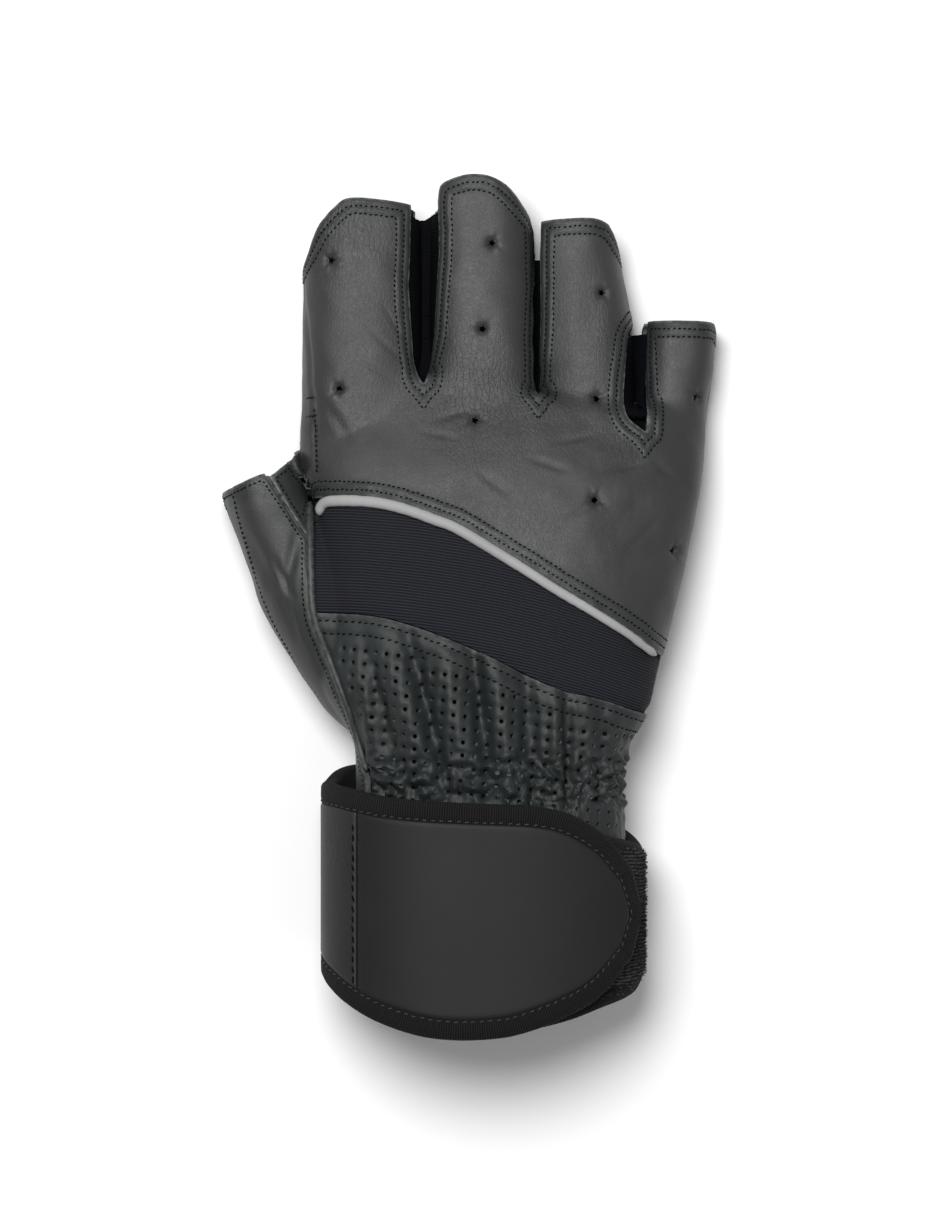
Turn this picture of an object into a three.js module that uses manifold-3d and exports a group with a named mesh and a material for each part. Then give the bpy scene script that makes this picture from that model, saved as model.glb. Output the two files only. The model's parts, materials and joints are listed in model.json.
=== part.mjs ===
// A right-hand weightlifting glove with a wrist wrap, lying palm down.
// Millimetres. X runs from the thumb side to the little finger, Y towards the fingers, Z up
// from the surface that the palm rests on.

import * as THREE from 'three';
import { mergeVertices } from 'three/addons/utils/BufferGeometryUtils.js';
import Module from 'manifold-3d';

const wasm = await Module();
wasm.setup();

// Driving sizes of the hand
const indexWidth = 30.6;
const middleWidth = 28;
const ringWidth = 24.6;
const littleWidth = 17;
const fingerGap = 0.5;
const indexLength = 52.6;
const middleLength = 58.4;
const ringLength = 47.6;
const littleLength = 21.9;
const fingerDepth = 22;
const palmLength = 88;
const palmDepth = 36;
const cuffLength = 30;
const thumbWidth = 20.5;
const thumbReach = 19.7;
const thumbDepth = 26;
const webHeight = 3.5;

// Driving sizes of the leather, fabric and trim
const wall = 1.4;
const seamGap = 0.35;
const restFlat = 3;
const slitReveal = 4;
const ventDiameter = 1.9;
const gatherHeight = 1.3;
const gatherCount = 6;
const pipingWidth = 2.8;
const weltWidth = 1.6;

// Driving sizes of the wrist strap
const strapHeight = 60;
const strapDrop = 40;
const strapEase = 1.4;
const strapLean = 0.7;
const strapCore = 2;
const strapSkin = 1;
const strapLift = 4.8;
const bindingWidth = 4.2;
const bindingWall = 0.8;
const clearance = 0.3;

// Places that follow from the sizes
const palmWidth = indexWidth + middleWidth + ringWidth + littleWidth + 3 * fingerGap;
const palmLeft = -0.413 * palmWidth;
const wristLine = -0.432 * palmLength;
const knuckleLine = wristLine + palmLength;
const skyHeight = 3 * palmDepth;

const across = (share) => palmLeft + share * palmWidth;
const along = (share) => wristLine + share * palmLength;
const signedPower = (value, power) => Math.sign(value) * Math.abs(value) ** power;
const mix = (from, to, share) => from + (to - from) * share;

// Colours of the materials
const LOOKS = {
  leather: { color: 0x3f4141, roughness: 0.5, metalness: 0 },
  fabric: { color: 0x15161b, roughness: 0.9, metalness: 0 },
  piping: { color: 0xa9abab, roughness: 0.55, metalness: 0 },
  panel: { color: 0x2c2c2c, roughness: 0.7, metalness: 0 },
  tape: { color: 0x141414, roughness: 0.85, metalness: 0 },
};

// Hand sections from the wrist to the finger roots: along in palm lengths, left and right in
// palm widths, top in palm depths, low in flattened depths and gather in gather heights
const HAND = [
  { along: 0.0, left: 0.138, right: 0.787, top: 1.06, low: -1.7, gather: 1.0 },
  { along: 0.08, left: 0.123, right: 0.816, top: 1.06, low: -1.3, gather: 1.0 },
  { along: 0.148, left: 0.084, right: 0.85, top: 1.06, low: -0.6, gather: 0.7 },
  { along: 0.227, left: 0.044, right: 0.868, top: 1.05, low: 0.4, gather: 0.4 },
  { along: 0.341, left: 0.029, right: 0.89, top: 1.03, low: 1.0, gather: 0.1 },
  { along: 0.466, left: 0.027, right: 0.92, top: 1.0, low: 1.0, gather: 0 },
  { along: 0.591, left: 0.03, right: 0.944, top: 0.96, low: 1.0, gather: 0 },
  { along: 0.727, left: 0.027, right: 0.97, top: 0.9, low: 1.0, gather: 0 },
  { along: 0.841, left: 0.002, right: 0.983, top: 0.82, low: 1.0, gather: 0 },
  { along: 0.932, left: 0.0, right: 0.993, top: 0.74, low: 1.0, gather: 0 },
  { along: 1.01, left: 0.0, right: 0.997, top: 0.67, low: 1.0, gather: 0 },
  { along: 1.09, left: 0.0, right: 0.997, top: 0.6, low: 1.0, gather: 0 },
];

// Fingers: sections run from the root, hem points from the left edge of the opening to its
// right edge; left, right and across in widths of the finger, along in its lengths, top in
// finger depths and low in flattened depths
const FINGERS = [
  {
    name: 'index',
    width: indexWidth,
    length: indexLength,
    sections: [
      { along: -0.35, left: 0.12, right: 0.98, top: 1.05, low: -1 },
      { along: 0.1, left: 0.0, right: 1.0, top: 1.05, low: 0.8 },
      { along: 0.55, left: 0.0, right: 1.0, top: 0.95, low: 1 },
      { along: 1.1, left: 0.03, right: 0.99, top: 0.85, low: 1 },
    ],
    hem: [
      { across: -0.02, along: 0.64 },
      { across: 0.04, along: 0.75 },
      { across: 0.114, along: 0.857 },
      { across: 0.253, along: 0.952 },
      { across: 0.417, along: 1.0 },
      { across: 0.882, along: 0.968 },
      { across: 0.93, along: 0.91 },
      { across: 1.02, along: 0.9 },
    ],
  },
  {
    name: 'middle',
    width: middleWidth,
    length: middleLength,
    sections: [
      { along: -0.3, left: 0.02, right: 0.98, top: 1.1, low: -1 },
      { along: 0.1, left: 0.0, right: 1.0, top: 1.08, low: 0.8 },
      { along: 0.6, left: 0.0, right: 0.965, top: 0.98, low: 1 },
      { along: 1.1, left: 0.04, right: 0.93, top: 0.88, low: 1 },
    ],
    hem: [
      { across: -0.02, along: 0.86 },
      { across: 0.09, along: 0.866 },
      { across: 0.125, along: 0.952 },
      { across: 0.232, along: 0.983 },
      { across: 0.393, along: 1.0 },
      { across: 0.571, along: 0.991 },
      { across: 0.75, along: 0.94 },
      { across: 0.911, along: 0.837 },
      { across: 0.95, along: 0.78 },
      { across: 1.02, along: 0.7 },
    ],
  },
  {
    name: 'ring',
    width: ringWidth,
    length: ringLength,
    sections: [
      { along: -0.4, left: 0.02, right: 0.98, top: 1.05, low: -1 },
      { along: 0.0, left: 0.0, right: 1.0, top: 1.02, low: 0.8 },
      { along: 0.42, left: 0.0, right: 0.95, top: 0.93, low: 1 },
      { along: 0.8, left: 0.0, right: 0.82, top: 0.86, low: 1 },
      { along: 1.1, left: 0.0, right: 0.73, top: 0.82, low: 1 },
    ],
    hem: [
      { across: -0.02, along: 0.95 },
      { across: 0.055, along: 0.985 },
      { across: 0.492, along: 1.0 },
      { across: 0.67, along: 0.975 },
      { across: 0.74, along: 0.93 },
      { across: 0.9, along: 0.72 },
    ],
  },
  {
    name: 'little',
    width: littleWidth,
    length: littleLength,
    sections: [
      { along: -0.9, left: 0.05, right: 0.78, top: 0.9, low: -1 },
      { along: -0.1, left: 0.0, right: 0.985, top: 0.88, low: 0.8 },
      { along: 0.5, left: 0.04, right: 1.08, top: 0.82, low: 1 },
      { along: 1.3, left: 0.08, right: 1.14, top: 0.78, low: 1 },
    ],
    hem: [
      { across: -0.02, along: 0.9 },
      { across: 0.08, along: 0.977 },
      { across: 0.153, along: 1.0 },
      { across: 1.0, along: 0.99 },
      { across: 1.11, along: 0.92 },
      { across: 1.2, along: 0.8 },
    ],
  },
];

// Slits between the fingers: bottom in palm lengths, left and right in slit reveals
const SLITS = [
  { name: 'fourchette_index_middle', bottom: 1.051, left: 0.78, right: 0.74 },
  { name: 'fourchette_middle_ring', bottom: 0.996, left: 0.7, right: 0.3 },
  { name: 'fourchette_ring_little', bottom: 0.952, left: 1.0, right: 0.4 },
];

// Thumb sections from the wrist side up: along in palm lengths, outer in thumb reaches past
// the palm's left edge, width in thumb widths, top in thumb depths and low in flattened depths
const THUMB = [
  { along: 0.02, outer: -0.95, width: 1.2, top: 0.95, low: -2.6 },
  { along: 0.08, outer: -0.645, width: 1.6, top: 1.04, low: -1.4 },
  { along: 0.155, outer: -0.279, width: 1.9, top: 1.1, low: -0.5 },
  { along: 0.289, outer: 0.132, width: 1.9, top: 1.14, low: 0.6 },
  { along: 0.415, outer: 0.467, width: 1.6, top: 1.12, low: 0.6 },
  { along: 0.53, outer: 0.64, width: 1.3, top: 1.08, low: 0.6 },
  { along: 0.618, outer: 0.777, width: 1.15, top: 1.04, low: 0.6 },
  { along: 0.761, outer: 1.0, width: 1.01, top: 1.0, low: 0.6 },
  { along: 0.92, outer: 1.08, width: 0.98, top: 0.96, low: 0.6 },
];

// Opening of the thumb: across in thumb widths from its outer edge, along in palm lengths
const THUMB_HEM = [
  { across: -0.1, along: 0.752 },
  { across: 0.0, along: 0.762 },
  { across: 0.476, along: 0.811 },
  { across: 0.573, along: 0.804 },
  { across: 0.89, along: 0.859 },
  { across: 0.99, along: 0.84 },
  { across: 1.4, along: 0.8 },
];

// Seam lines on the back of the hand: across in palm widths, along in palm lengths
const PIPING_LINE = [
  { across: -0.2, along: 0.735 },
  { across: 0.04, along: 0.735 },
  { across: 0.106, along: 0.734 },
  { across: 0.165, along: 0.731 },
  { across: 0.224, along: 0.719 },
  { across: 0.283, along: 0.698 },
  { across: 0.342, along: 0.672 },
  { across: 0.389, along: 0.649 },
  { across: 0.527, along: 0.552 },
  { across: 0.622, along: 0.482 },
  { across: 0.715, along: 0.418 },
  { across: 0.809, along: 0.349 },
  { across: 0.875, along: 0.293 },
  { across: 1.2, along: 0.05 },
];
const GATHER_LINE = [
  { across: -0.2, along: 0.425 },
  { across: 0.04, along: 0.419 },
  { across: 0.211, along: 0.402 },
  { across: 0.403, along: 0.325 },
  { across: 0.612, along: 0.211 },
  { across: 0.733, along: 0.175 },
  { across: 0.848, along: 0.13 },
  { across: 1.2, along: 0.0 },
];

const GATHER_STEPS = 16;

// Turned-down end of the piping at the thumb side, and where its straight run starts and ends
const PIPING_END = [
  { across: 0.045, along: 0.683 },
  { across: 0.045, along: 0.712 },
  { across: 0.058, along: 0.731 },
];
const PIPING_FROM = 0.09;
const PIPING_TO = 0.884;

// Seam between the thumb leather and the back of the hand, from the finger side down, and
// the stretch of it that carries the welt
const WELT_FROM = 0.79;
const WELT_TO = 0.14;
const THUMB_LINE = [
  { across: -0.02, along: 2.4 },
  { across: -0.01, along: 0.95 },
  { across: 0.0, along: 0.84 },
  { across: 0.018, along: 0.76 },
  { across: 0.022, along: 0.65 },
  { across: 0.026, along: 0.45 },
  { across: 0.024, along: 0.27 },
  { across: 0.044, along: 0.19 },
  { across: 0.08, along: 0.13 },
  { across: -0.04, along: 0.08 },
  { across: -0.2, along: 0.04 },
];

// Inner thumb piece: its seam on the thumb's back, from the opening down to its point
const GUSSET_LINE = [
  { across: -0.082, along: 0.95 },
  { across: -0.079, along: 0.804 },
  { across: 0.012, along: 0.64 },
  { across: 0.1, along: 0.64 },
];

// Punched vent holes: across in widths of the finger or palm, along in its lengths
const VENTS = [
  { on: 'index', across: 0.229, along: 0.702 },
  { on: 'index', across: 0.297, along: 0.087 },
  { on: 'middle', across: 0.587, along: 0.706 },
  { on: 'middle', across: 0.498, along: 0.336 },
  { on: 'ring', across: 0.63, along: 0.607 },
  { on: 'ring', across: 0.57, along: 0.053 },
  { on: 'little', across: 0.85, along: 0.12 },
  { on: 'palm', across: 0.424, along: 0.967 },
  { on: 'palm', across: 0.717, along: 0.738 },
  { on: 'palm', across: 0.917, along: 0.592 },
];

// Path of the strap round the wrist, from its inner end to the tip of its flap: angle in
// degrees about the wrist (90 is the back of the hand, -90 the palm), lift in strap lifts,
// top and bottom in strap heights from the strap's middle line
const STRAP = [
  { angle: 150, lift: 0, top: 0.4, bottom: -0.35 },
  { angle: 120, lift: 0, top: 0.4, bottom: -0.433 },
  { angle: 90, lift: 0, top: 0.4, bottom: -0.505 },
  { angle: 65, lift: 0, top: 0.39, bottom: -0.46 },
  { angle: 45, lift: 0, top: 0.367, bottom: -0.39 },
  { angle: 20, lift: 0, top: 0.333, bottom: -0.325 },
  { angle: 0, lift: 0, top: 0.317, bottom: -0.25 },
  { angle: -30, lift: 0, top: 0.383, bottom: -0.217 },
  { angle: -60, lift: 0, top: 0.467, bottom: -0.2 },
  { angle: -90, lift: 0, top: 0.55, bottom: -0.183 },
  { angle: -120, lift: 0, top: 0.608, bottom: -0.175 },
  { angle: -150, lift: 0.15, top: 0.642, bottom: -0.192 },
  { angle: -165, lift: 0.4, top: 0.625, bottom: -0.2 },
  { angle: -180, lift: 0.7, top: 0.583, bottom: -0.225 },
  { angle: -190, lift: 0.9, top: 0.577, bottom: -0.26 },
  { angle: -200, lift: 1.0, top: 0.57, bottom: -0.31 },
  { angle: -210, lift: 1.0, top: 0.56, bottom: -0.35 },
  { angle: -235, lift: 1.0, top: 0.523, bottom: -0.44 },
  { angle: -255, lift: 1.0, top: 0.507, bottom: -0.48 },
  { angle: -270, lift: 1.0, top: 0.498, bottom: -0.478 },
  { angle: -285, lift: 1.0, top: 0.485, bottom: -0.437 },
  { angle: -295, lift: 1.0, top: 0.46, bottom: -0.4 },
  { angle: -305, lift: 1.0, top: 0.42, bottom: -0.35 },
  { angle: -315, lift: 1.0, top: 0.355, bottom: -0.275 },
  { angle: -322.5, lift: 1.0, top: 0.28, bottom: -0.19 },
  { angle: -327.5, lift: 1.0, top: 0.2, bottom: -0.11 },
  { angle: -330, lift: 1.0, top: 0.13, bottom: -0.04 },
];
const STRAP_PATCH_START = -160;
const STRAP_PATCH_END = -220;
const LOOP_PILE_START = 80;
const LOOP_PILE_END = -20;

// Triangles that close a section, in the turning direction of its outline
function sectionFaces(outline) {
  const turned = THREE.ShapeUtils.isClockWise(outline);
  return THREE.ShapeUtils.triangulateShape(outline, []).map(([a, b, c]) => {
    const face = [outline[a], outline[b], outline[c]];
    return THREE.ShapeUtils.isClockWise(face) === turned ? [a, b, c] : [a, c, b];
  });
}

// Closed mesh through rings of points, one for each corner of a section's outline
function skin(rings, outline) {
  const count = outline.length;
  const last = rings.length - 1;
  const positions = [];
  const faces = [];
  rings.forEach((ring) => ring.forEach((point) => positions.push(point.x, point.y, point.z)));
  for (let row = 0; row < last; row += 1) {
    for (let step = 0; step < count; step += 1) {
      const next = (step + 1) % count;
      const near = row * count;
      const far = near + count;
      faces.push(near + step, far + step, near + next);
      faces.push(near + next, far + step, far + next);
    }
  }
  sectionFaces(outline).forEach(([a, b, c]) => {
    faces.push(a, b, c);
    faces.push(last * count + a, last * count + c, last * count + b);
  });
  const geometry = new THREE.BufferGeometry();
  geometry.setAttribute('position', new THREE.Float32BufferAttribute(positions, 3));
  geometry.setIndex(faces);
  return geometry;
}

function toSolid(geometry) {
  geometry.deleteAttribute('normal');
  geometry.deleteAttribute('uv');
  const merged = mergeVertices(geometry, 0.0001);
  return new wasm.Manifold(
    new wasm.Mesh({
      numProp: 3,
      vertProperties: new Float32Array(merged.attributes.position.array),
      triVerts: new Uint32Array(merged.index.array),
    }),
  );
}

// Faces of a mesh sorted into connected bodies
function bodiesOf(faces, count) {
  const owner = Array.from({ length: count }, (_, index) => index);
  const rootOf = (index) => {
    let root = index;
    while (owner[root] !== root) {
      root = owner[root];
    }
    owner[index] = root;
    return root;
  };
  const bodies = new Map();
  faces.forEach(([a, b, c]) => {
    owner[rootOf(b)] = rootOf(a);
    owner[rootOf(c)] = rootOf(a);
  });
  faces.forEach((face) => {
    const root = rootOf(face[0]);
    bodies.set(root, [...(bodies.get(root) ?? []), face]);
  });
  return [...bodies.values()];
}

// Mesh of a solid, without the crumbs that a cut leaves where two faces nearly meet
const CRUMB_VOLUME = 0.05;
function toGeometry(solid) {
  const mesh = solid.getMesh();
  const corner = (index) => new THREE.Vector3().fromArray(mesh.vertProperties, 3 * index);
  const volume = (body) => {
    return body.reduce((sum, [a, b, c]) => sum + corner(a).dot(corner(b).cross(corner(c))) / 6, 0);
  };
  const faces = [];
  for (let start = 0; start < mesh.triVerts.length; start += 3) {
    faces.push([...mesh.triVerts.slice(start, start + 3)]);
  }
  const bodies = bodiesOf(faces, mesh.vertProperties.length / 3);
  const kept = bodies.filter((body) => volume(body) > CRUMB_VOLUME);
  const geometry = new THREE.BufferGeometry();
  geometry.setAttribute('position', new THREE.BufferAttribute(mesh.vertProperties, 3));
  geometry.setIndex(kept.flat(2));
  geometry.computeVertexNormals();
  return geometry;
}

const join = (solids) => solids.reduce((sum, solid) => sum.add(solid));
const cut = (solid, tools) => tools.reduce((rest, tool) => rest.subtract(tool), solid);
const keep = (solid, regions) => regions.reduce((rest, region) => rest.intersect(region), solid);

// Upright prism over an outline of X and Y points
function uprightPrism(outline, floor = -skyHeight) {
  const shape = new THREE.Shape(outline.map(([x, y]) => new THREE.Vector2(x, y)));
  const geometry = new THREE.ExtrudeGeometry(shape, {
    depth: skyHeight - floor,
    bevelEnabled: false,
  });
  geometry.translate(0, 0, floor);
  return toSolid(geometry);
}

// Rounded tube form through sections, smaller by an inset on all sides and flat where it rests
function form(sections, facets, exponent, inset) {
  const rings = sections.map((section) => {
    const middleX = (section.left + section.right) / 2;
    const middleZ = (section.top + section.bottom) / 2;
    const halfWidth = (section.right - section.left) / 2 - inset;
    const halfDepth = (section.top - section.bottom) / 2 - inset;
    const ring = [];
    for (let step = 0; step < facets.back + facets.palm; step += 1) {
      const beyond = Math.max(step - facets.back, 0);
      const turn = Math.min(step, facets.back) / facets.back + beyond / facets.palm;
      const angle = Math.PI * turn;
      const side = signedPower(Math.cos(angle), 2 / exponent);
      const rise = signedPower(Math.sin(angle), 2 / exponent);
      const z = middleZ + halfDepth * rise + gatherAt(section, side, rise);
      ring.push(new THREE.Vector3(middleX + halfWidth * side, section.y, Math.max(z, inset)));
    }
    return ring;
  });
  const outline = rings[0].map((point) => new THREE.Vector2(point.x, point.z));
  return toSolid(skin(rings, outline));
}

// Height of the gathers at a place on a section, from side -1 to 1 and rise -1 to 1
function gatherAt(section, side, rise) {
  const fold = Math.cos(Math.PI * gatherCount * (side + 1));
  return section.gather * gatherHeight * fold * Math.max(rise, 0);
}

// Height of a form's top at a place, or of its widest line beyond it
function topAt(sections, exponent, x, y) {
  const found = sections.findIndex((section) => section.y > y);
  const next = found < 1 ? sections.length - 1 : found;
  const low = sections[next - 1];
  const high = sections[next];
  const share = THREE.MathUtils.clamp((y - low.y) / (high.y - low.y), 0, 1);
  const left = mix(low.left, high.left, share);
  const right = mix(low.right, high.right, share);
  const top = mix(low.top, high.top, share);
  const bottom = mix(low.bottom, high.bottom, share);
  const side = THREE.MathUtils.clamp((2 * x - left - right) / (right - left), -1, 1);
  const rise = (1 - Math.abs(side) ** exponent) ** (1 / exponent);
  return (top + bottom) / 2 + ((top - bottom) / 2) * rise;
}

// Hand form
const HAND_FACETS = { back: 30, palm: 12 };
const HAND_EXPONENT = 2.5;
const handSections = HAND.map((row) => ({
  y: along(row.along),
  left: across(row.left),
  right: across(row.right),
  top: row.top * palmDepth,
  bottom: -row.low * restFlat,
  gather: row.gather,
}));
const CUFF_SHARES = [1, 0.5];
const CUFF_MOUTH_SHARE = 1.3;
const cuffSections = CUFF_SHARES.map((share) => ({
  ...handSections[0],
  y: wristLine - share * cuffLength,
}));
const handOuter = [...cuffSections, ...handSections];
const cuffMouth = { ...cuffSections[0], y: wristLine - CUFF_MOUTH_SHARE * cuffLength };
const handInner = [cuffMouth, ...cuffSections.slice(1), ...handSections];

// Fingers side by side from the index to the little finger
const FINGER_FACETS = { back: 12, palm: 6 };
const FINGER_EXPONENT = 2.3;
const fingerRows = [];
let nextLeft = palmLeft;
FINGERS.forEach((finger) => {
  const left = nextLeft;
  const place = (row) => [left + row.across * finger.width, knuckleLine + row.along * finger.length];
  const sections = finger.sections.map((row) => ({
    y: knuckleLine + row.along * finger.length,
    left: left + row.left * finger.width,
    right: left + row.right * finger.width,
    top: row.top * fingerDepth,
    bottom: -row.low * restFlat,
    gather: 0,
  }));
  fingerRows.push({ ...finger, left, sections, place });
  nextLeft = left + finger.width + fingerGap;
});

// What lies beyond the hem of a finger or of the thumb
function beyondHem(points) {
  const reach = palmLength;
  const first = points[0];
  const last = points[points.length - 1];
  const top = Math.max(...points.map((point) => point[1])) + reach;
  const outline = [[first[0] - reach, first[1]], ...points, [last[0] + reach, last[1]]];
  return uprightPrism([...outline, [last[0] + reach, top], [first[0] - reach, top]]);
}

// Thumb form
const THUMB_FACETS = { back: 12, palm: 6 };
const THUMB_EXPONENT = 2.3;
const thumbSections = THUMB.map((row) => {
  const left = palmLeft - row.outer * thumbReach;
  return {
    y: along(row.along),
    left,
    right: left + row.width * thumbWidth,
    top: row.top * thumbDepth,
    bottom: -row.low * restFlat,
    gather: 0,
  };
});
const thumbOuterEdge = palmLeft - thumbReach;
const thumbHem = THUMB_HEM.map((row) => [
  thumbOuterEdge + row.across * thumbWidth,
  along(row.along),
]);

// Slits between neighbouring fingers, in the middle of the gap between their forms
const slits = SLITS.map((slit, index) => ({
  ...slit,
  x: fingerRows[index + 1].left - fingerGap / 2,
  y: along(slit.bottom),
}));

// Outline of a slit from above: its foot, and where its sides bend and reach their full
// spread, in slit reveals
const SLIT_FOOT = 0.3;
const SLIT_BEND = { spread: 0.6, rise: 2 };
const SLIT_FULL_RISE = 4;
function slitOutline(slit, margin) {
  const left = slit.x - slit.left * slitReveal - margin;
  const right = slit.x + slit.right * slitReveal + margin;
  const foot = SLIT_FOOT * slitReveal + margin;
  const low = slit.y - margin;
  const bend = low + SLIT_BEND.rise * slitReveal;
  const full = low + SLIT_FULL_RISE * slitReveal;
  const end = knuckleLine + 2 * middleLength;
  return [
    [slit.x - foot, low],
    [slit.x + foot, low],
    [mix(slit.x + foot, right, SLIT_BEND.spread), bend],
    [right, full],
    [right, end],
    [left, end],
    [left, full],
    [mix(slit.x - foot, left, SLIT_BEND.spread), bend],
  ];
}

// The hand form ends in a web between the fingers, which slopes with the slits
function beyondWeb(drop) {
  const height = webHeight - drop;
  const points = slits.map((slit) => [slit.x, slit.y + height]);
  const first = [across(-0.1), slits[0].y + height];
  const last = [across(1.1), slits[2].y + height];
  const top = knuckleLine + 2 * middleLength;
  return uprightPrism([first, ...points, last, [last[0], top], [first[0], top]]);
}

function glove(inset) {
  const rows = inset > 0 ? handInner : handOuter;
  const hand = form(rows, HAND_FACETS, HAND_EXPONENT, inset).subtract(beyondWeb(inset));
  const fingers = fingerRows.map((finger) => {
    const tube = form(finger.sections, FINGER_FACETS, FINGER_EXPONENT, inset);
    return inset > 0 ? tube : tube.subtract(beyondHem(finger.hem.map(finger.place)));
  });
  const thumb = form(thumbSections, THUMB_FACETS, THUMB_EXPONENT, inset);
  const ended = inset > 0 ? thumb : thumb.subtract(beyondHem(thumbHem));
  return join([hand, ...fingers, ended]);
}
const shell = glove(0).subtract(glove(wall));

// Seams between the back and the palm, at a share of the height of the hand or finger
const SIDE_SEAM = 0.44;
function sideRegion(above) {
  const reach = skyHeight;
  const offset = above ? seamGap / 2 : -seamGap / 2;
  const line = handSections.map((row) => [row.y, SIDE_SEAM * row.top + offset]);
  const fingerSeam = SIDE_SEAM * fingerDepth + offset;
  const start = [wristLine - 2 * cuffLength, line[0][1]];
  const limit = above ? reach : -reach;
  const end = knuckleLine + 2 * middleLength;
  const outline = [
    start,
    ...line.slice(0, -1),
    [slits[0].y + webHeight, fingerSeam],
    [end, fingerSeam],
    [end, limit],
    [start[0], limit],
  ];
  const shape = new THREE.Shape(outline.map(([y, z]) => new THREE.Vector2(y, z)));
  const geometry = new THREE.ExtrudeGeometry(shape, { depth: 4 * reach, bevelEnabled: false });
  const turn = new THREE.Matrix4().set(0, 0, 1, -2 * reach, 1, 0, 0, 0, 0, 1, 0, 0, 0, 0, 0, 1);
  geometry.applyMatrix4(turn);
  return toSolid(geometry);
}

// Smooth seam line seen from above, moved sideways by an offset to the left of its direction
function seamPoints(rows, steps, offset) {
  const corners = rows.map((row) => new THREE.Vector3(across(row.across), along(row.along), 0));
  const curve = new THREE.CatmullRomCurve3(corners, false, 'centripetal');
  return curve.getSpacedPoints(steps).map((point, index) => {
    const direction = curve.getTangentAt(index / steps);
    return [point.x - direction.y * offset, point.y + direction.x * offset];
  });
}

// Part of the view from above that lies to the left or right of a seam line
function besideSeam(rows, steps, room, limits) {
  return uprightPrism([...seamPoints(rows, steps, room), ...limits]);
}

function gussetOutline(margin) {
  const points = GUSSET_LINE.map((row) => [across(row.across) - margin, along(row.along) - margin]);
  const right = across(0.1) + margin;
  return [...points, [right, points[points.length - 1][1]], [right, points[0][1]]];
}

// Trim that lies along a line on the top of the hand and thumb
function trimCurve(places, sink) {
  const points = places.map(([x, y]) => {
    const hand = topAt(handSections, HAND_EXPONENT, x, y);
    const thumb = topAt(thumbSections, THUMB_EXPONENT, x, y);
    return new THREE.Vector3(x, y, Math.max(hand, thumb) - sink);
  });
  return new THREE.CatmullRomCurve3(points, false, 'centripetal');
}

function trim(curve, radius, steps, sides) {
  const circle = new THREE.Shape();
  circle.absarc(0, 0, radius, 0, 2 * Math.PI, false);
  const geometry = new THREE.ExtrudeGeometry(circle, {
    extrudePath: curve,
    steps,
    curveSegments: sides,
  });
  return toSolid(geometry);
}

// Piping under the knuckles, with its end turned down at the thumb side
const pipingRoom = pipingWidth / 2 + clearance;
const PIPING_STEPS = 30;
const PIPING_SIDES = 4;
const pipingSink = 0.2 * pipingWidth;
const pipingEnds = PIPING_END.map((row) => [across(row.across), along(row.along)]);
const pipingRun = seamPoints(PIPING_LINE, PIPING_STEPS, 0).filter(([x]) => {
  return x > across(PIPING_FROM) && x < across(PIPING_TO);
});
const pipingCurve = trimCurve([...pipingEnds, ...pipingRun], pipingSink);
const piping = trim(pipingCurve, pipingWidth / 2, PIPING_STEPS, PIPING_SIDES);
const pipingEndRoom = trim(pipingCurve, pipingRoom, PIPING_STEPS, PIPING_SIDES);

// Welt beside the thumb
const weltRoom = weltWidth / 2 + clearance;
const WELT_STEPS = 24;
const WELT_SEGMENTS = 18;
const WELT_SIDES = 3;
const weltSink = 0.1 * weltWidth;
const weltRun = seamPoints(THUMB_LINE, WELT_STEPS, 0).filter(([, y]) => {
  return y < along(WELT_FROM) && y > along(WELT_TO);
});
const weltCurve = trimCurve(weltRun, weltSink);
const welt = trim(weltCurve, weltWidth / 2, WELT_SEGMENTS, WELT_SIDES);

// Vent holes, punched straight down through the back
const VENT_SIDES = 7;
const ventTools = VENTS.map((vent) => {
  const finger = fingerRows.find((row) => row.name === vent.on);
  const [x, y] = finger ? finger.place(vent) : [across(vent.across), along(vent.along)];
  const depth = skyHeight;
  const radius = ventDiameter / 2;
  const geometry = new THREE.CylinderGeometry(radius, radius, depth, VENT_SIDES);
  geometry.rotateX(Math.PI / 2);
  geometry.translate(x, y, SIDE_SEAM * palmDepth + depth / 2);
  return toSolid(geometry);
});

// Panels cut from the one shell
const farLeft = across(-2);
const farRight = across(3);
const farUp = along(4);
const farDown = along(-4);
const upPoints = [[farRight, farUp], [farLeft, farUp]];
const downPoints = [[farRight, farDown], [farLeft, farDown]];
const rightPoints = [[farRight, farDown], [farRight, farUp]];
const leftPoints = [[farLeft, farDown], [farLeft, farUp]];
const halfGap = seamGap / 2;
const upper = sideRegion(true);
const lower = sideRegion(false);
const handSide = besideSeam(THUMB_LINE, WELT_STEPS, weltRoom, rightPoints);
const thumbSide = besideSeam(THUMB_LINE, WELT_STEPS, -weltRoom, leftPoints);
const slitTools = slits.map((slit) => uprightPrism(slitOutline(slit, seamGap)));
const back = keep(shell, [upper, handSide]);
const abovePiping = besideSeam(PIPING_LINE, PIPING_STEPS, pipingRoom, upPoints);
const belowPiping = besideSeam(PIPING_LINE, PIPING_STEPS, -pipingRoom, downPoints);
const aboveGathers = besideSeam(GATHER_LINE, GATHER_STEPS, halfGap, upPoints);
const belowGathers = besideSeam(GATHER_LINE, GATHER_STEPS, -halfGap, downPoints);
const backLeather = cut(keep(back, [abovePiping]), [...slitTools, ...ventTools]);
const stretchPanel = cut(keep(back, [belowPiping, aboveGathers]), [pipingEndRoom]);
const wristLeather = keep(back, [belowGathers]);
const thumbShell = keep(shell, [upper, thumbSide]);
const thumbLeather = cut(thumbShell, [uprightPrism(gussetOutline(seamGap))]);
const thumbGusset = keep(thumbShell, [uprightPrism(gussetOutline(0))]);
const palmLeather = cut(keep(shell, [lower]), slitTools);
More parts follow.
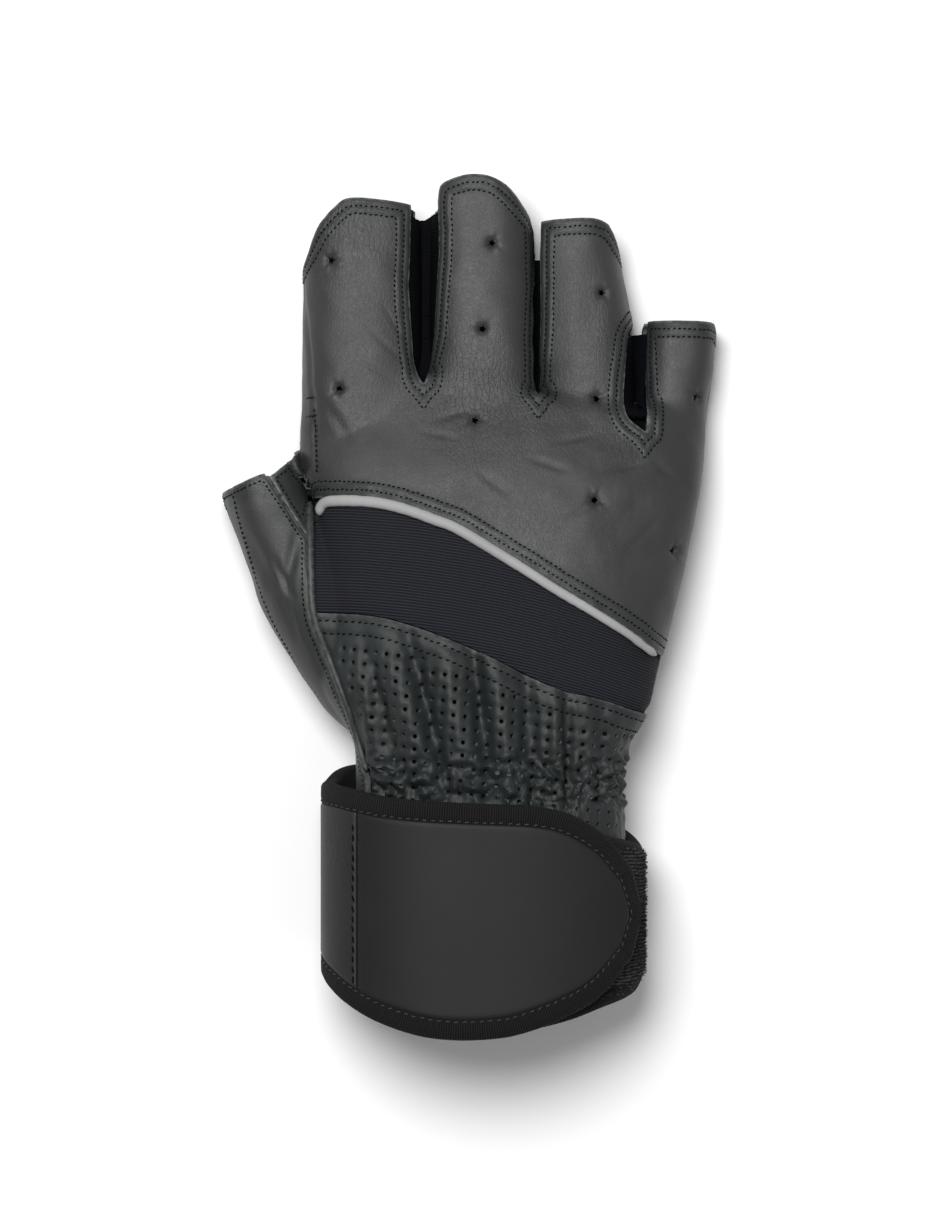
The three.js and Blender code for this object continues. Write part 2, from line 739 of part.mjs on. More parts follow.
const fourchettes = slits.map((slit) => keep(shell, [uprightPrism(slitOutline(slit, 0))]));

// Smooth value of one column between the rows of the strap's path
function strapValue(angle, column) {
  const last = STRAP.length - 1;
  const found = STRAP.findIndex((row) => row.angle <= angle);
  const high = found < 0 ? last : Math.max(found, 1);
  const rows = [high - 2, high - 1, high, high + 1].map((at) => {
    return STRAP[THREE.MathUtils.clamp(at, 0, last)];
  });
  const [before, low, next, after] = rows;
  const share = THREE.MathUtils.clamp((angle - low.angle) / (next.angle - low.angle), 0, 1);
  const span = next.angle - low.angle;
  const startSlope = ((next[column] - before[column]) / (next.angle - before.angle)) * span;
  const endSlope = ((after[column] - low[column]) / (after.angle - low.angle)) * span;
  const square = share * share;
  const cube = square * share;
  return (
    (2 * cube - 3 * square + 1) * low[column] +
    (cube - 2 * square + share) * startSlope +
    (3 * square - 2 * cube) * next[column] +
    (cube - square) * endSlope
  );
}

// The strap lies on a flattened oval round the cuff
const STRAP_EXPONENT = 2.5;
const bindingReach = clearance + bindingWall;
const strapFloor = strapCore + bindingReach;
const cuff = handSections[0];
const strapHalfWidth = (cuff.right - cuff.left) / 2 + bindingReach + strapEase;
const strapCentre = (cuff.right + cuff.left) / 2 - strapLean;
const strapRoof = cuff.top + gatherHeight + bindingReach + clearance;
const strapHalfDepth = (strapRoof - strapFloor + restFlat) / 2;
const strapMiddleZ = strapRoof - strapHalfDepth;
const strapLine = wristLine - strapDrop;
const strapFirst = STRAP[0].angle;
const strapLast = STRAP[STRAP.length - 1].angle;

// Angles at which the strap's pieces have their edges, closer together round the flap's end
const STRAP_STEPS = [
  { above: -170, step: 10 },
  { above: -210, step: 5 },
  { above: -280, step: 10 },
  { above: -315, step: 5 },
  { above: -360, step: 2.5 },
];
const strapAngles = [];
const stepAt = (angle) => STRAP_STEPS.find((row) => angle > row.above).step;
for (let angle = strapFirst; angle > strapLast; angle -= stepAt(angle)) {
  strapAngles.push(angle);
}
strapAngles.push(strapLast);

function ovalPoint(angle) {
  const turn = THREE.MathUtils.degToRad(angle);
  const side = signedPower(Math.cos(turn), 2 / STRAP_EXPONENT);
  const rise = signedPower(Math.sin(turn), 2 / STRAP_EXPONENT);
  const z = strapMiddleZ + strapHalfDepth * rise;
  return new THREE.Vector3(strapCentre + strapHalfWidth * side, 0, Math.max(z, strapFloor));
}

// Degrees to each side of an angle between which the oval's direction is measured
const OVAL_STEP = 3;
function ovalNormal(angle) {
  const step = ovalPoint(angle + OVAL_STEP).sub(ovalPoint(angle - OVAL_STEP));
  return new THREE.Vector3(step.z, 0, -step.x).normalize();
}

function strapPoint(angle, height, y) {
  const lift = THREE.MathUtils.clamp(strapValue(angle, 'lift'), 0, 1) * strapLift;
  const point = ovalPoint(angle).addScaledVector(ovalNormal(angle), lift + height);
  return point.setY(y);
}

// Turn about the wrist that covers one millimetre of the strap's outer face
function turnPerMillimetre(angle) {
  const before = strapPoint(angle - OVAL_STEP, strapCore, 0);
  const after = strapPoint(angle + OVAL_STEP, strapCore, 0);
  return (2 * OVAL_STEP) / before.distanceTo(after);
}

// Edge of the strap at an angle, moved in from its outline in the worst direction
const INSET_DIRECTIONS = [0, 30, 60, 90, 120, 150, 180];
function strapEdge(angle, column, inset) {
  const sign = column === 'top' ? 1 : -1;
  const distances = INSET_DIRECTIONS.map((degrees) => {
    const direction = THREE.MathUtils.degToRad(degrees);
    const shifted = angle - turnPerMillimetre(angle) * inset * Math.cos(direction);
    const nearest = THREE.MathUtils.clamp(shifted, strapLast, strapFirst);
    return sign * strapHeight * strapValue(nearest, column) - inset * Math.sin(direction);
  });
  return strapLine + sign * Math.min(...distances);
}

// Ribbon that follows the strap between two angles
function ribbon({ from, to, inner, outer, inset }) {
  const between = strapAngles.filter((angle) => angle < from - 1 && angle > to + 1);
  const rings = [from, ...between, to].map((angle) => {
    const top = strapEdge(angle, 'top', inset);
    const bottom = strapEdge(angle, 'bottom', inset);
    return [
      strapPoint(angle, outer, bottom),
      strapPoint(angle, outer, top),
      strapPoint(angle, inner, top),
      strapPoint(angle, inner, bottom),
    ];
  });
  const [bottom, top] = [0, 1];
  const corners = [[bottom, top], [top, top], [top, bottom], [bottom, bottom]];
  return skin(rings, corners.map(([x, y]) => new THREE.Vector2(x, y)));
}

const skinFloor = strapCore + clearance;
const skinInset = bindingReach + bindingWidth + clearance;
const flapEnd = strapLast + turnPerMillimetre(strapLast) * skinInset;
const seamTurn = (turnPerMillimetre(STRAP_PATCH_END) * seamGap) / 2;
const strapBand = ribbon({
  from: strapFirst,
  to: strapLast + turnPerMillimetre(strapLast) * bindingReach,
  inner: 0,
  outer: strapCore,
  inset: bindingReach,
});
const leatherPatch = ribbon({
  from: STRAP_PATCH_START,
  to: STRAP_PATCH_END + seamTurn,
  inner: skinFloor,
  outer: skinFloor + strapSkin,
  inset: skinInset,
});
const matPanel = ribbon({
  from: STRAP_PATCH_END - seamTurn,
  to: flapEnd,
  inner: skinFloor,
  outer: skinFloor + strapSkin,
  inset: skinInset,
});
const loopPile = ribbon({
  from: LOOP_PILE_START,
  to: LOOP_PILE_END,
  inner: skinFloor,
  outer: skinFloor + strapSkin,
  inset: skinInset,
});

// Binding: a folded tape that grips the strap's edge all the way round the flap
function binding() {
  const tops = strapAngles.map((angle) => ({ angle, y: strapEdge(angle, 'top', bindingReach) }));
  const bottoms = strapAngles.map((angle) => {
    return { angle, y: strapEdge(angle, 'bottom', bindingReach) };
  });
  const outline = [...tops, ...bottoms.reverse()];
  const inside = strapCore + clearance;
  const outside = inside + bindingWall;
  const corners = [
    [-bindingWidth, outside],
    [bindingReach, outside],
    [bindingReach, -bindingReach],
    [-bindingWidth, -bindingReach],
    [-bindingWidth, -clearance],
    [clearance, -clearance],
    [clearance, inside],
    [-bindingWidth, inside],
  ];
  const section = corners.map(([reach, height]) => new THREE.Vector2(reach, height));
  const path = outline.map((row) => strapPoint(row.angle, 0, row.y));
  const rings = outline.map((row, index) => {
    const before = path[Math.max(index - 1, 0)];
    const after = path[Math.min(index + 1, path.length - 1)];
    const forward = after.clone().sub(before);
    const normal = ovalNormal(row.angle);
    const outward = new THREE.Vector3().crossVectors(normal, forward).normalize();
    const lengthwise = new THREE.Vector3(-normal.z, 0, normal.x);
    const turn = outward.dot(lengthwise) * turnPerMillimetre(row.angle);
    return section.map(({ x: reach, y: height }) => {
      const angle = row.angle + turn * reach;
      const corner = strapPoint(angle, height, row.y + outward.y * reach);
      return corner.setZ(Math.max(corner.z, 0));
    });
  });
  return skin(rings, section);
}

// Assembly
const glovePart = new THREE.Group();
function addPiece(name, geometry, look) {
  const mesh = new THREE.Mesh(geometry, new THREE.MeshStandardMaterial(LOOKS[look]));
  mesh.name = name;
  glovePart.add(mesh);
}
addPiece('back_leather', toGeometry(backLeather), 'leather');
addPiece('palm_leather', toGeometry(palmLeather), 'leather');
slits.forEach((slit, index) => addPiece(slit.name, toGeometry(fourchettes[index]), 'fabric'));
addPiece('knuckle_piping', toGeometry(piping), 'piping');
addPiece('stretch_panel', toGeometry(stretchPanel), 'fabric');
addPiece('wrist_leather', toGeometry(wristLeather), 'leather');
addPiece('thumb_leather', toGeometry(thumbLeather), 'leather');
addPiece('thumb_gusset', toGeometry(thumbGusset), 'leather');
addPiece('thumb_welt', toGeometry(welt), 'leather');
addPiece('wrist_strap', strapBand, 'tape');
addPiece('strap_binding', binding(), 'tape');
addPiece('strap_leather_patch', leatherPatch, 'leather');
addPiece('strap_panel', matPanel, 'panel');
addPiece('strap_loop_pile', loopPile, 'fabric');

// The origin lies on the surface under the middle of the glove
const box = new THREE.Box3().setFromObject(glovePart);
const middle = box.getCenter(new THREE.Vector3());
glovePart.position.set(-middle.x, -middle.y, 0);

export default glovePart;
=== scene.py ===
import json
import math
import random

import bmesh
import bpy
import numpy as np
from mathutils import Matrix, Vector, noise
from mathutils.bvhtree import BVHTree
from mathutils.kdtree import KDTree

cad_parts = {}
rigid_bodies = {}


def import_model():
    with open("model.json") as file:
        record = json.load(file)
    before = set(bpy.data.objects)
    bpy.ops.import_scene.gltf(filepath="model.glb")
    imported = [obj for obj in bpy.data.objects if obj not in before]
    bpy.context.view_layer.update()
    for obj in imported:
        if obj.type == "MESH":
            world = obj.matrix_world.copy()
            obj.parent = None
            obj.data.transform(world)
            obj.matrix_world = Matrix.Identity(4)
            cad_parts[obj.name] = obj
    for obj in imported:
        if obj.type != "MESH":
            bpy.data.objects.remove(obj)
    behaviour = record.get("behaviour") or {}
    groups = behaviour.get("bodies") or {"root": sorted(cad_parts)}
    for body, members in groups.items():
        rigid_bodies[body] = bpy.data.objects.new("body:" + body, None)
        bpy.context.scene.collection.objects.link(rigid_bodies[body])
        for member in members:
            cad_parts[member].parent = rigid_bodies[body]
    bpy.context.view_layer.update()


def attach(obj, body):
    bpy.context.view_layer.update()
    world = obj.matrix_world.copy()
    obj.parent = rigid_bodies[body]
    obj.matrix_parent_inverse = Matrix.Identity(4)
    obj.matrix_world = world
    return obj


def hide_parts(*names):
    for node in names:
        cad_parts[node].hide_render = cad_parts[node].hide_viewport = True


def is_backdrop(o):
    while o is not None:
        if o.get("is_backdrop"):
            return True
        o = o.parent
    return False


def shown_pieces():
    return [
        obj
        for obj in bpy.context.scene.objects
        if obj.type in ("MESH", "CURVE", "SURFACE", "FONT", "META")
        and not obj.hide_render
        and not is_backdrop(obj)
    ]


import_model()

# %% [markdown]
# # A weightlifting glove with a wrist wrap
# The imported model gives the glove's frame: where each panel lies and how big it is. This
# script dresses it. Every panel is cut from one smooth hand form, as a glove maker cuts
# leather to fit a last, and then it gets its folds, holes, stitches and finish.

# %% [markdown]
# ## Sizes
# A glove is drawn from a few sizes of the hand. Lengths are in millimetres here, X runs from
# the thumb to the little finger, Y towards the fingertips and Z up. Each table row is a share
# of a named size, so that the tables stay short and the glove keeps its proportions.

# %% Sizes of the hand, the leather and the strap
MM = 0.001
CENTRING = (0.06, -0.034)
index_width, middle_width, ring_width, little_width = 30.6, 28.0, 24.6, 17.0
index_length, middle_length, ring_length, little_length = 52.6, 58.4, 47.6, 21.9
finger_gap = 0.5
finger_depth = 22.0
palm_length, palm_depth = 88.0, 36.0
palm_width = index_width + middle_width + ring_width + little_width + 3 * finger_gap
palm_left = -0.413 * palm_width + CENTRING[0]
wrist_line = -0.432 * palm_length + CENTRING[1]
knuckle_line = wrist_line + palm_length
cuff_length = 30.0
thumb_width, thumb_reach, thumb_depth = 20.5, 19.7, 26.0
web_height, rest_flat = 3.5, 3.0
leather, fabric, side_wall = 1.4, 1.0, 0.9


def across(share):
    return palm_left + share * palm_width


def along(share):
    return wrist_line + share * palm_length


print("palm", round(palm_width, 1), "mm wide from x", round(palm_left, 1))

# %% [markdown]
# ## Sections
# Each row below is one section across the hand or a finger, as shares of the sizes above. Few
# rows are enough, because smooth rows are filled in between them.

# %% Sections of the hand
# along in palm lengths, left and right in palm widths, top in palm depths, low in flattened
# depths below the surface that the palm rests on
HAND = [
    (-0.36, 0.138, 0.787, 1.06, -1.7),
    (-0.17, 0.138, 0.787, 1.06, -1.7),
    (0.0, 0.138, 0.787, 1.06, -1.7),
    (0.08, 0.123, 0.816, 1.06, -1.3),
    (0.148, 0.084, 0.85, 1.06, -0.6),
    (0.227, 0.044, 0.868, 1.05, 0.4),
    (0.341, 0.029, 0.89, 1.03, 1.0),
    (0.466, 0.027, 0.92, 1.0, 1.0),
    (0.591, 0.03, 0.944, 0.96, 1.0),
    (0.727, 0.027, 0.97, 0.9, 1.0),
    (0.841, 0.002, 0.983, 0.82, 1.0),
    (0.932, 0.0, 0.993, 0.74, 1.0),
    (1.01, 0.0, 0.997, 0.67, 1.0),
    (1.09, 0.0, 0.997, 0.6, 1.0),
]

# %% Sections of the fingers, and the line of each finger's hem
# along in finger lengths, left and right in finger widths, top in finger depths
FINGERS = [
    {
        "name": "index", "width": index_width, "length": index_length,
        "sections": [
            (-0.35, 0.12, 0.98, 1.05, -1),
            (0.1, 0.0, 1.0, 1.05, 0.8),
            (0.55, 0.0, 1.0, 0.95, 1),
            (1.1, 0.03, 0.99, 0.85, 1),
        ],
        "hem": [
            (-0.02, 0.64), (0.04, 0.75), (0.114, 0.857), (0.253, 0.952), (0.417, 1.0),
            (0.882, 0.968), (0.93, 0.91), (1.02, 0.9),
        ],
    },
    {
        "name": "middle", "width": middle_width, "length": middle_length,
        "sections": [
            (-0.3, 0.02, 0.98, 1.1, -1),
            (0.1, 0.0, 1.0, 1.08, 0.8),
            (0.6, 0.0, 0.965, 0.98, 1),
            (1.1, 0.04, 0.93, 0.88, 1),
        ],
        "hem": [
            (-0.02, 0.86), (0.09, 0.866), (0.125, 0.952), (0.232, 0.983), (0.393, 1.0),
            (0.571, 0.991), (0.75, 0.94), (0.911, 0.837), (0.95, 0.78), (1.02, 0.7),
        ],
    },
    {
        "name": "ring", "width": ring_width, "length": ring_length,
        "sections": [
            (-0.4, 0.02, 0.98, 1.05, -1),
            (0.0, 0.0, 1.0, 1.02, 0.8),
            (0.42, 0.0, 0.95, 0.93, 1),
            (0.8, 0.0, 0.82, 0.86, 1),
            (1.1, 0.0, 0.73, 0.82, 1),
        ],
        "hem": [
            (-0.02, 0.95), (0.055, 0.985), (0.492, 1.0), (0.67, 0.975), (0.74, 0.93),
            (0.9, 0.72),
        ],
    },
    {
        "name": "little", "width": little_width, "length": little_length,
        "sections": [
            (-0.9, 0.05, 0.78, 0.9, -1),
            (-0.1, 0.0, 0.985, 0.88, 0.8),
            (0.5, 0.04, 1.08, 0.82, 1),
            (1.3, 0.08, 1.14, 0.78, 1),
        ],
        "hem": [
            (-0.02, 0.9), (0.08, 0.977), (0.153, 1.0), (1.0, 0.99), (1.11, 0.92), (1.2, 0.8),
        ],
    },
]

# %% Sections of the thumb, its hem, and the slits between the fingers
# along in palm lengths, outer in thumb reaches past the palm, width in thumb widths, top in
# thumb depths, low in flattened depths
THUMB = [
    (0.02, -0.95, 1.2, 0.95, -2.6),
    (0.08, -0.645, 1.6, 1.04, -1.4),
    (0.155, -0.279, 1.9, 1.1, -0.5),
    (0.289, 0.132, 1.9, 1.14, 0.6),
    (0.415, 0.467, 1.6, 1.12, 0.6),
    (0.53, 0.64, 1.3, 1.08, 0.6),
    (0.618, 0.777, 1.15, 1.04, 0.6),
    (0.761, 1.0, 1.01, 1.0, 0.6),
    (0.92, 1.08, 0.98, 0.96, 0.6),
]
# across in thumb widths from its outer edge, along in palm lengths
THUMB_HEM = [
    (-0.1, 0.752), (0.0, 0.762), (0.476, 0.811), (0.573, 0.804), (0.89, 0.859), (0.99, 0.84),
    (1.4, 0.8),
]
# the fabric in each slit, and how high its web lies in palm lengths
SLITS = [("index_middle", 1.051), ("middle_ring", 0.996), ("ring_little", 0.952)]

for start, finger in enumerate(FINGERS):
    widths = [before["width"] + finger_gap for before in FINGERS[:start]]
    finger["left"] = sum(widths, palm_left)
print(len(FINGERS), "fingers, the little one from x", round(FINGERS[-1]["left"], 1))

# %% [markdown]
# ## The last
# A glove is sewn round a last, a smooth hand-shaped block. Here each finger, the thumb and
# the palm is a loft: a circle of points is bridged to the next along the hand. A voxel
# remesh then melts the lofts into one skin with soft webs and an even mesh, which a plain
# union wouldn't give, and an even mesh is what folds and dents need later.

# %% Lofts through sections
VOXEL = 0.6 * MM
ROUND_POINTS = 72
HAND_ROUND, FINGER_ROUND, THUMB_ROUND = 2.5, 2.7, 2.3
FINGER_SLIM = 0.5


def filled_in(rows, count):
    """Rows of a table with smooth rows between them."""
    table = np.array(rows, float)
    at = np.linspace(0, len(table) - 1, count)
    low = np.clip(at.astype(int), 0, len(table) - 2)
    share = (at - low)[:, None]
    before, start, end, after = (
        table[np.clip(low + step, 0, len(table) - 1)] for step in (-1, 0, 1, 2)
    )
    square, cube = share ** 2, share ** 3
    return 0.5 * (
        2 * start
        + (end - before) * share
        + (2 * before - 5 * start + 4 * end - after) * square
        + (3 * start - before - 3 * end + after) * cube
    )


def section_ring(row, exponent):
    """Points of one section: a rounded box, flat where it rests."""
    y, left, right, top, bottom = row
    turn = np.linspace(0, 2 * np.pi, ROUND_POINTS, endpoint=False)
    side, rise = (np.sign(f) * np.abs(f) ** (2 / exponent) for f in (np.cos(turn), np.sin(turn)))
    x = (left + right) / 2 + (right - left) / 2 * side
    z = (top + bottom) / 2 + (top - bottom) / 2 * rise
    return np.column_stack([x, np.full_like(x, y), np.maximum(z, 0)]) * MM


def new_object(name, bm):
    mesh = bpy.data.meshes.new(name)
    bm.to_mesh(mesh)
    bm.free()
    thing = bpy.data.objects.new(name, mesh)
    bpy.context.scene.collection.objects.link(thing)
    return thing


def loft(name, rings):
    """A skin bridged from ring to ring, with its ends filled."""
    bm = bmesh.new()
    loops = []
    for points in rings:
        circle = bmesh.ops.create_circle(bm, cap_ends=False, segments=len(points), radius=1)
        for vert, point in zip(circle["verts"], points):
            vert.co = Vector(point)
        loops.append(list({edge for vert in circle["verts"] for edge in vert.link_edges}))
    for near, far in zip(loops, loops[1:]):
        bmesh.ops.bridge_loops(bm, edges=near + far)
    for ends in (loops[0], loops[-1]):
        bmesh.ops.edgeloop_fill(bm, edges=ends)
    bmesh.ops.recalc_face_normals(bm, faces=bm.faces)
    return new_object(name, bm)


def hand_rows():
    rows = [(along(a), across(l), across(r), t * palm_depth, -low * rest_flat)
            for a, l, r, t, low in HAND]
    return filled_in(rows, 60)


def finger_rows(finger):
    left, width = finger["left"], finger["width"]
    rows = [
        (knuckle_line + a * finger["length"], left + l * width + FINGER_SLIM,
         left + r * width - FINGER_SLIM, t * finger_depth, -low * rest_flat)
        for a, l, r, t, low in finger["sections"]
    ]
    return filled_in(rows, 30)


def thumb_rows():
    rows = []
    for a, outer, width, top, low in THUMB:
        left = palm_left - outer * thumb_reach
        rows.append((along(a), left, left + width * thumb_width, top * thumb_depth,
                     -low * rest_flat))
    return filled_in(rows, 40)


# %% [markdown]
# ## Moving points
# Every fold and dent below moves the points of a mesh. Reading all of them into one NumPy
# array, changing it and writing it back is much quicker than a loop over vertices.

# %% Points of a mesh as an array
def columns(collection, key, width):
    values = np.empty(len(collection) * width, np.float64)
    collection.foreach_get(key, values)
    return values.reshape(-1, width)


def put(piece, spots):
    """Sets a piece's points, in metres, and keeps them above the floor."""
    spots[:, 2] = np.maximum(spots[:, 2], 0)
    piece.data.vertices.foreach_set("co", spots.ravel())
    piece.data.update()


def push(piece, depth):
    """Moves every point of a sheet along its own normal, in millimetres."""
    spots = columns(piece.data.vertices, "co", 3)
    spots += columns(piece.data.vertices, "normal", 3) * np.asarray(depth)[:, None] * MM
    put(piece, spots)


def distances(places, seeds):
    """How far each place is from the nearest of the seeds."""
    tree = KDTree(len(seeds))
    for index, seed in enumerate(seeds):
        tree.insert(Vector(seed), index)
    tree.balance()
    return np.array([tree.find(Vector(place))[2] for place in places])


def travelled(line):
    """The way along a line up to each of its points."""
    return np.concatenate([[0], np.cumsum(np.linalg.norm(np.diff(line, axis=0), axis=1))])


def grounded(line):
    """The places of a flat line, with a height of nought."""
    return np.column_stack([line, np.zeros(len(line))])


# %% [markdown]
# ## Cutting tools
# The panels' outlines are drawn on the flat, seen from above. Each outline becomes an upright
# prism, and a boolean with the last cuts the panel. The prism's own faces carry a second
# material index, so that they can be found and deleted afterwards: what is left is an open
# sheet whose edge is the seam.

# %% Prisms and booleans
SKY, DEPTH = 120.0, -40.0
SKIN, CUT = 0, 1
blank = [bpy.data.materials.new("last_skin"), bpy.data.materials.new("cut_face")]


def as_tool(bm):
    """A cutting tool, whose faces leave the index of a cut face behind."""
    tool = new_object("tool", bm)
    for material in blank:
        tool.data.materials.append(material)
    for polygon in tool.data.polygons:
        polygon.material_index = CUT
    return tool


def prism(outline, sideways=False):
    """Upright prism over X and Y points, or one along X over Y and Z points."""
    bm = bmesh.new()
    start, end = (-200.0, 200.0) if sideways else (DEPTH, SKY)
    place = (lambda u, v, w: (w, u, v)) if sideways else (lambda u, v, w: (u, v, w))
    verts = [bm.verts.new(Vector(place(u, v, start)) * MM) for u, v in outline]
    face = bm.faces.new(verts)
    grown = bmesh.ops.extrude_face_region(bm, geom=[face])["geom"]
    moved = [part for part in grown if isinstance(part, bmesh.types.BMVert)]
    bmesh.ops.translate(bm, verts=moved, vec=Vector(place(0, 0, end - start)) * MM)
    bmesh.ops.triangulate(bm, faces=bm.faces)
    bmesh.ops.recalc_face_normals(bm, faces=bm.faces)
    return as_tool(bm)


def baked(thing):
    """The object with its modifiers worked into its mesh."""
    bpy.context.view_layer.update()
    seen = thing.evaluated_get(bpy.context.evaluated_depsgraph_get())
    mesh = bpy.data.meshes.new_from_object(seen)
    thing.modifiers.clear()
    thing.data = mesh
    return thing


def combine(thing, tools, operation):
    for tool in tools:
        step = thing.modifiers.new("step", "BOOLEAN")
        step.operation, step.solver, step.object = operation, "MANIFOLD", tool
    return baked(thing)


def drop(*things):
    for thing in things:
        bpy.data.objects.remove(thing)


# %% [markdown]
# ### Outlines of the slits and openings
# A few points are enough for each outline, since a smooth line is run through them. The slits
# are drawn from their points at the knuckles: each edge is a row of offsets from there.

# %% Smooth lines, slits and openings
def smooth_line(points, step=1.0):
    """The points with a smooth line of about one step between them."""
    line = filled_in(points, 12 * len(points))
    reach = travelled(line)
    at = np.linspace(0, reach[-1], max(int(reach[-1] / step), 2))
    return np.column_stack([np.interp(at, reach, column) for column in line.T])


def moved_sideways(line, offset):
    """The line moved to the left of its direction."""
    way = np.gradient(line, axis=0)
    way /= np.linalg.norm(way, axis=1)[:, None]
    return line + offset * np.column_stack([-way[:, 1], way[:, 0]])


def slit_x(number):
    return FINGERS[number + 1]["left"] - finger_gap / 2


FINGERS_END = knuckle_line + 2 * middle_length
SLIT_POINTS = [(-11.6, 56.4), (17.1, 53.9), (43.7, 44.3)]
SLIT_ANGLE = math.radians(36)
# for each slit its left and right edge: above its point, and beside it
SLIT_EDGES = [
    ([(60, -2.9), (36, -2.95), (23, -3.3), (13.75, -2.7), (7.5, -2.3), (2.8, -1.4)],
     [(60, 3.3), (35.6, 3.3), (23, 2.8), (13.75, 2.3), (7.5, 1.6), (2.8, 0.8)]),
    ([(60, -0.5), (40, -0.55), (24, -0.85), (14, -0.95), (4, -0.8), (1.2, -0.4)],
     [(60, 1.3), (45, 1.3), (24, 1.2), (14, 1.1), (4, 0.7), (1.2, 0.3)]),
    ([(60, -1.0), (32, -1.0), (27.5, -2.0), (23.75, -3.7), (18.75, -4.3), (11.25, -5.0),
      (6.25, -4.9), (2.75, -3.4)],
     [(60, 0.3), (24, 0.25), (10, 0.25), (2, 0.12)]),
]


def slit_outline(number, margin):
    x, y = SLIT_POINTS[number]
    left, right = SLIT_EDGES[number]
    line = smooth_line([(x + a, y + b) for b, a in left] + [(x, y)], 0.6)
    other = smooth_line([(x + a, y + b) for b, a in right] + [(x, y)], 0.6)
    return np.vstack([line - (margin, margin), (other + (margin, -margin))[::-1]])


def web_outline():
    points = [(slit_x(n), along(SLITS[n][1]) + web_height) for n in range(3)]
    first, last = (across(-0.1), points[0][1]), (across(1.1), points[2][1])
    return [first, *points, last, (last[0], FINGERS_END), (first[0], FINGERS_END)]


def opening_outline(number):
    """What lies beyond a finger's hem, up to the middle of the slits beside it."""
    finger = FINGERS[number]
    left = slit_x(number - 1) if number else across(-0.5)
    right = slit_x(number) if number < 3 else across(1.5)
    points = [(finger["left"] + a * finger["width"], knuckle_line + b * finger["length"])
              for a, b in finger["hem"]]
    line = smooth_line(points)
    line = line[(line[:, 0] > left) & (line[:, 0] < right)]
    return [(left, line[0][1]), *line, (right, line[-1][1]), (right, FINGERS_END),
            (left, FINGERS_END)]


def thumb_opening(extra, right):
    """What lies beyond the thumb's hem, moved outwards by an extra."""
    points = [(palm_left - thumb_reach + a * thumb_width, along(b) + extra) for a, b in THUMB_HEM]
    line = smooth_line(points)
    line = line[line[:, 0] < right]
    left, top = across(-0.6), line[:, 1].max() + 40
    return [(left, line[0][1]), *line, (right, line[-1][1]), (right, top), (left, top)]


# %% [markdown]
# ## Melting the lofts into one last
# The lofts overlap, so a voxel remesh is enough to join them, and a short smooth takes the
# voxels' steps away. The knuckles get a long smooth of their own, through a vertex group, so
# that the four fingers grow out of one rounded back. Last of all the form grows a little,
# because smoothing has made it slimmer.

# %% The last itself
LAST_GROWTH = 0.6
BLEND_REACH, BLEND_START, BLEND_ROUNDS = 12.0, 8.0, 160

parts = [loft("hand", [section_ring(row, HAND_ROUND) for row in hand_rows()])]
combine(parts[0], [prism(web_outline())], "DIFFERENCE")
for finger in FINGERS:
    parts.append(loft(finger["name"], [section_ring(row, FINGER_ROUND)
                                       for row in finger_rows(finger)]))
parts.append(loft("thumb", [section_ring(row, THUMB_ROUND) for row in thumb_rows()]))
combine(parts[-1], [prism(thumb_opening(1.0, across(0.3)))], "DIFFERENCE")

bm = bmesh.new()
for part in parts:
    bm.from_mesh(part.data)
last = new_object("last", bm)
last.data.materials.clear()
for material in blank:
    last.data.materials.append(material)
melt = last.modifiers.new("melt", "REMESH")
melt.mode, melt.voxel_size, melt.use_smooth_shade = "VOXEL", VOXEL, True
soften = last.modifiers.new("soften", "SMOOTH")
soften.factor, soften.iterations = 0.5, 10
baked(last)
drop(*parts)
print("melted:", len(last.data.polygons), "faces")

# %% Soft knuckles and a little growth
knuckles = last.vertex_groups.new(name="knuckles")
web_y = np.array(web_outline()[:5])
for vert in last.data.vertices:
    x, y, z = vert.co / MM
    away = abs(y - np.interp(x, web_y[:, 0], web_y[:, 1]) + 1)
    in_slit = min(abs(x - slit_x(n)) for n in range(3)) < 1.2 and y > knuckle_line
    if away < BLEND_REACH and z > BLEND_START and not in_slit:
        share = min(1.0, 2 * (BLEND_REACH - away) / BLEND_REACH)
        knuckles.add([vert.index], share, "REPLACE")
blend = last.modifiers.new("blend", "SMOOTH")
blend.factor, blend.iterations, blend.vertex_group = 0.5, BLEND_ROUNDS, "knuckles"
baked(last)
push(last, np.full(len(last.data.vertices), LAST_GROWTH))
for polygon in last.data.polygons:
    polygon.material_index = SKIN
print("last:", len(last.data.polygons), "faces")

# %% [markdown]
# ## Seams
# The seam lines decide where one panel ends and the next starts. They run on a little past
# the hand, because a cutting prism has to reach further than what it cuts.

# %% Seam lines on the back of the hand
# across in palm widths, along in palm lengths
PIPING_LINE = [
    (-0.2, 0.735), (0.04, 0.735), (0.106, 0.734), (0.165, 0.731), (0.224, 0.719),
    (0.283, 0.698), (0.342, 0.672), (0.389, 0.649), (0.527, 0.552), (0.622, 0.482),
    (0.715, 0.418), (0.809, 0.349), (0.875, 0.293), (1.2, 0.05),
]
GATHER_LINE = [
    (-0.2, 0.425), (0.04, 0.419), (0.211, 0.402), (0.403, 0.325), (0.612, 0.211),
    (0.733, 0.175), (0.848, 0.13), (1.2, 0.0),
]
THUMB_LINE = [
    (-0.03, 2.4), (-0.03, 1.1), (-0.026, 0.9), (-0.015, 0.83), (0.012, 0.78), (0.02, 0.74),
    (0.022, 0.65), (0.026, 0.45), (0.04, 0.37), (0.066, 0.29), (0.104, 0.173), (0.13, 0.08),
    (0.152, -0.01), (0.165, -0.1), (0.17, -0.6),
]
GUSSET_LINE = [(-0.082, 0.95), (-0.079, 0.804), (0.012, 0.64), (0.1, 0.64)]
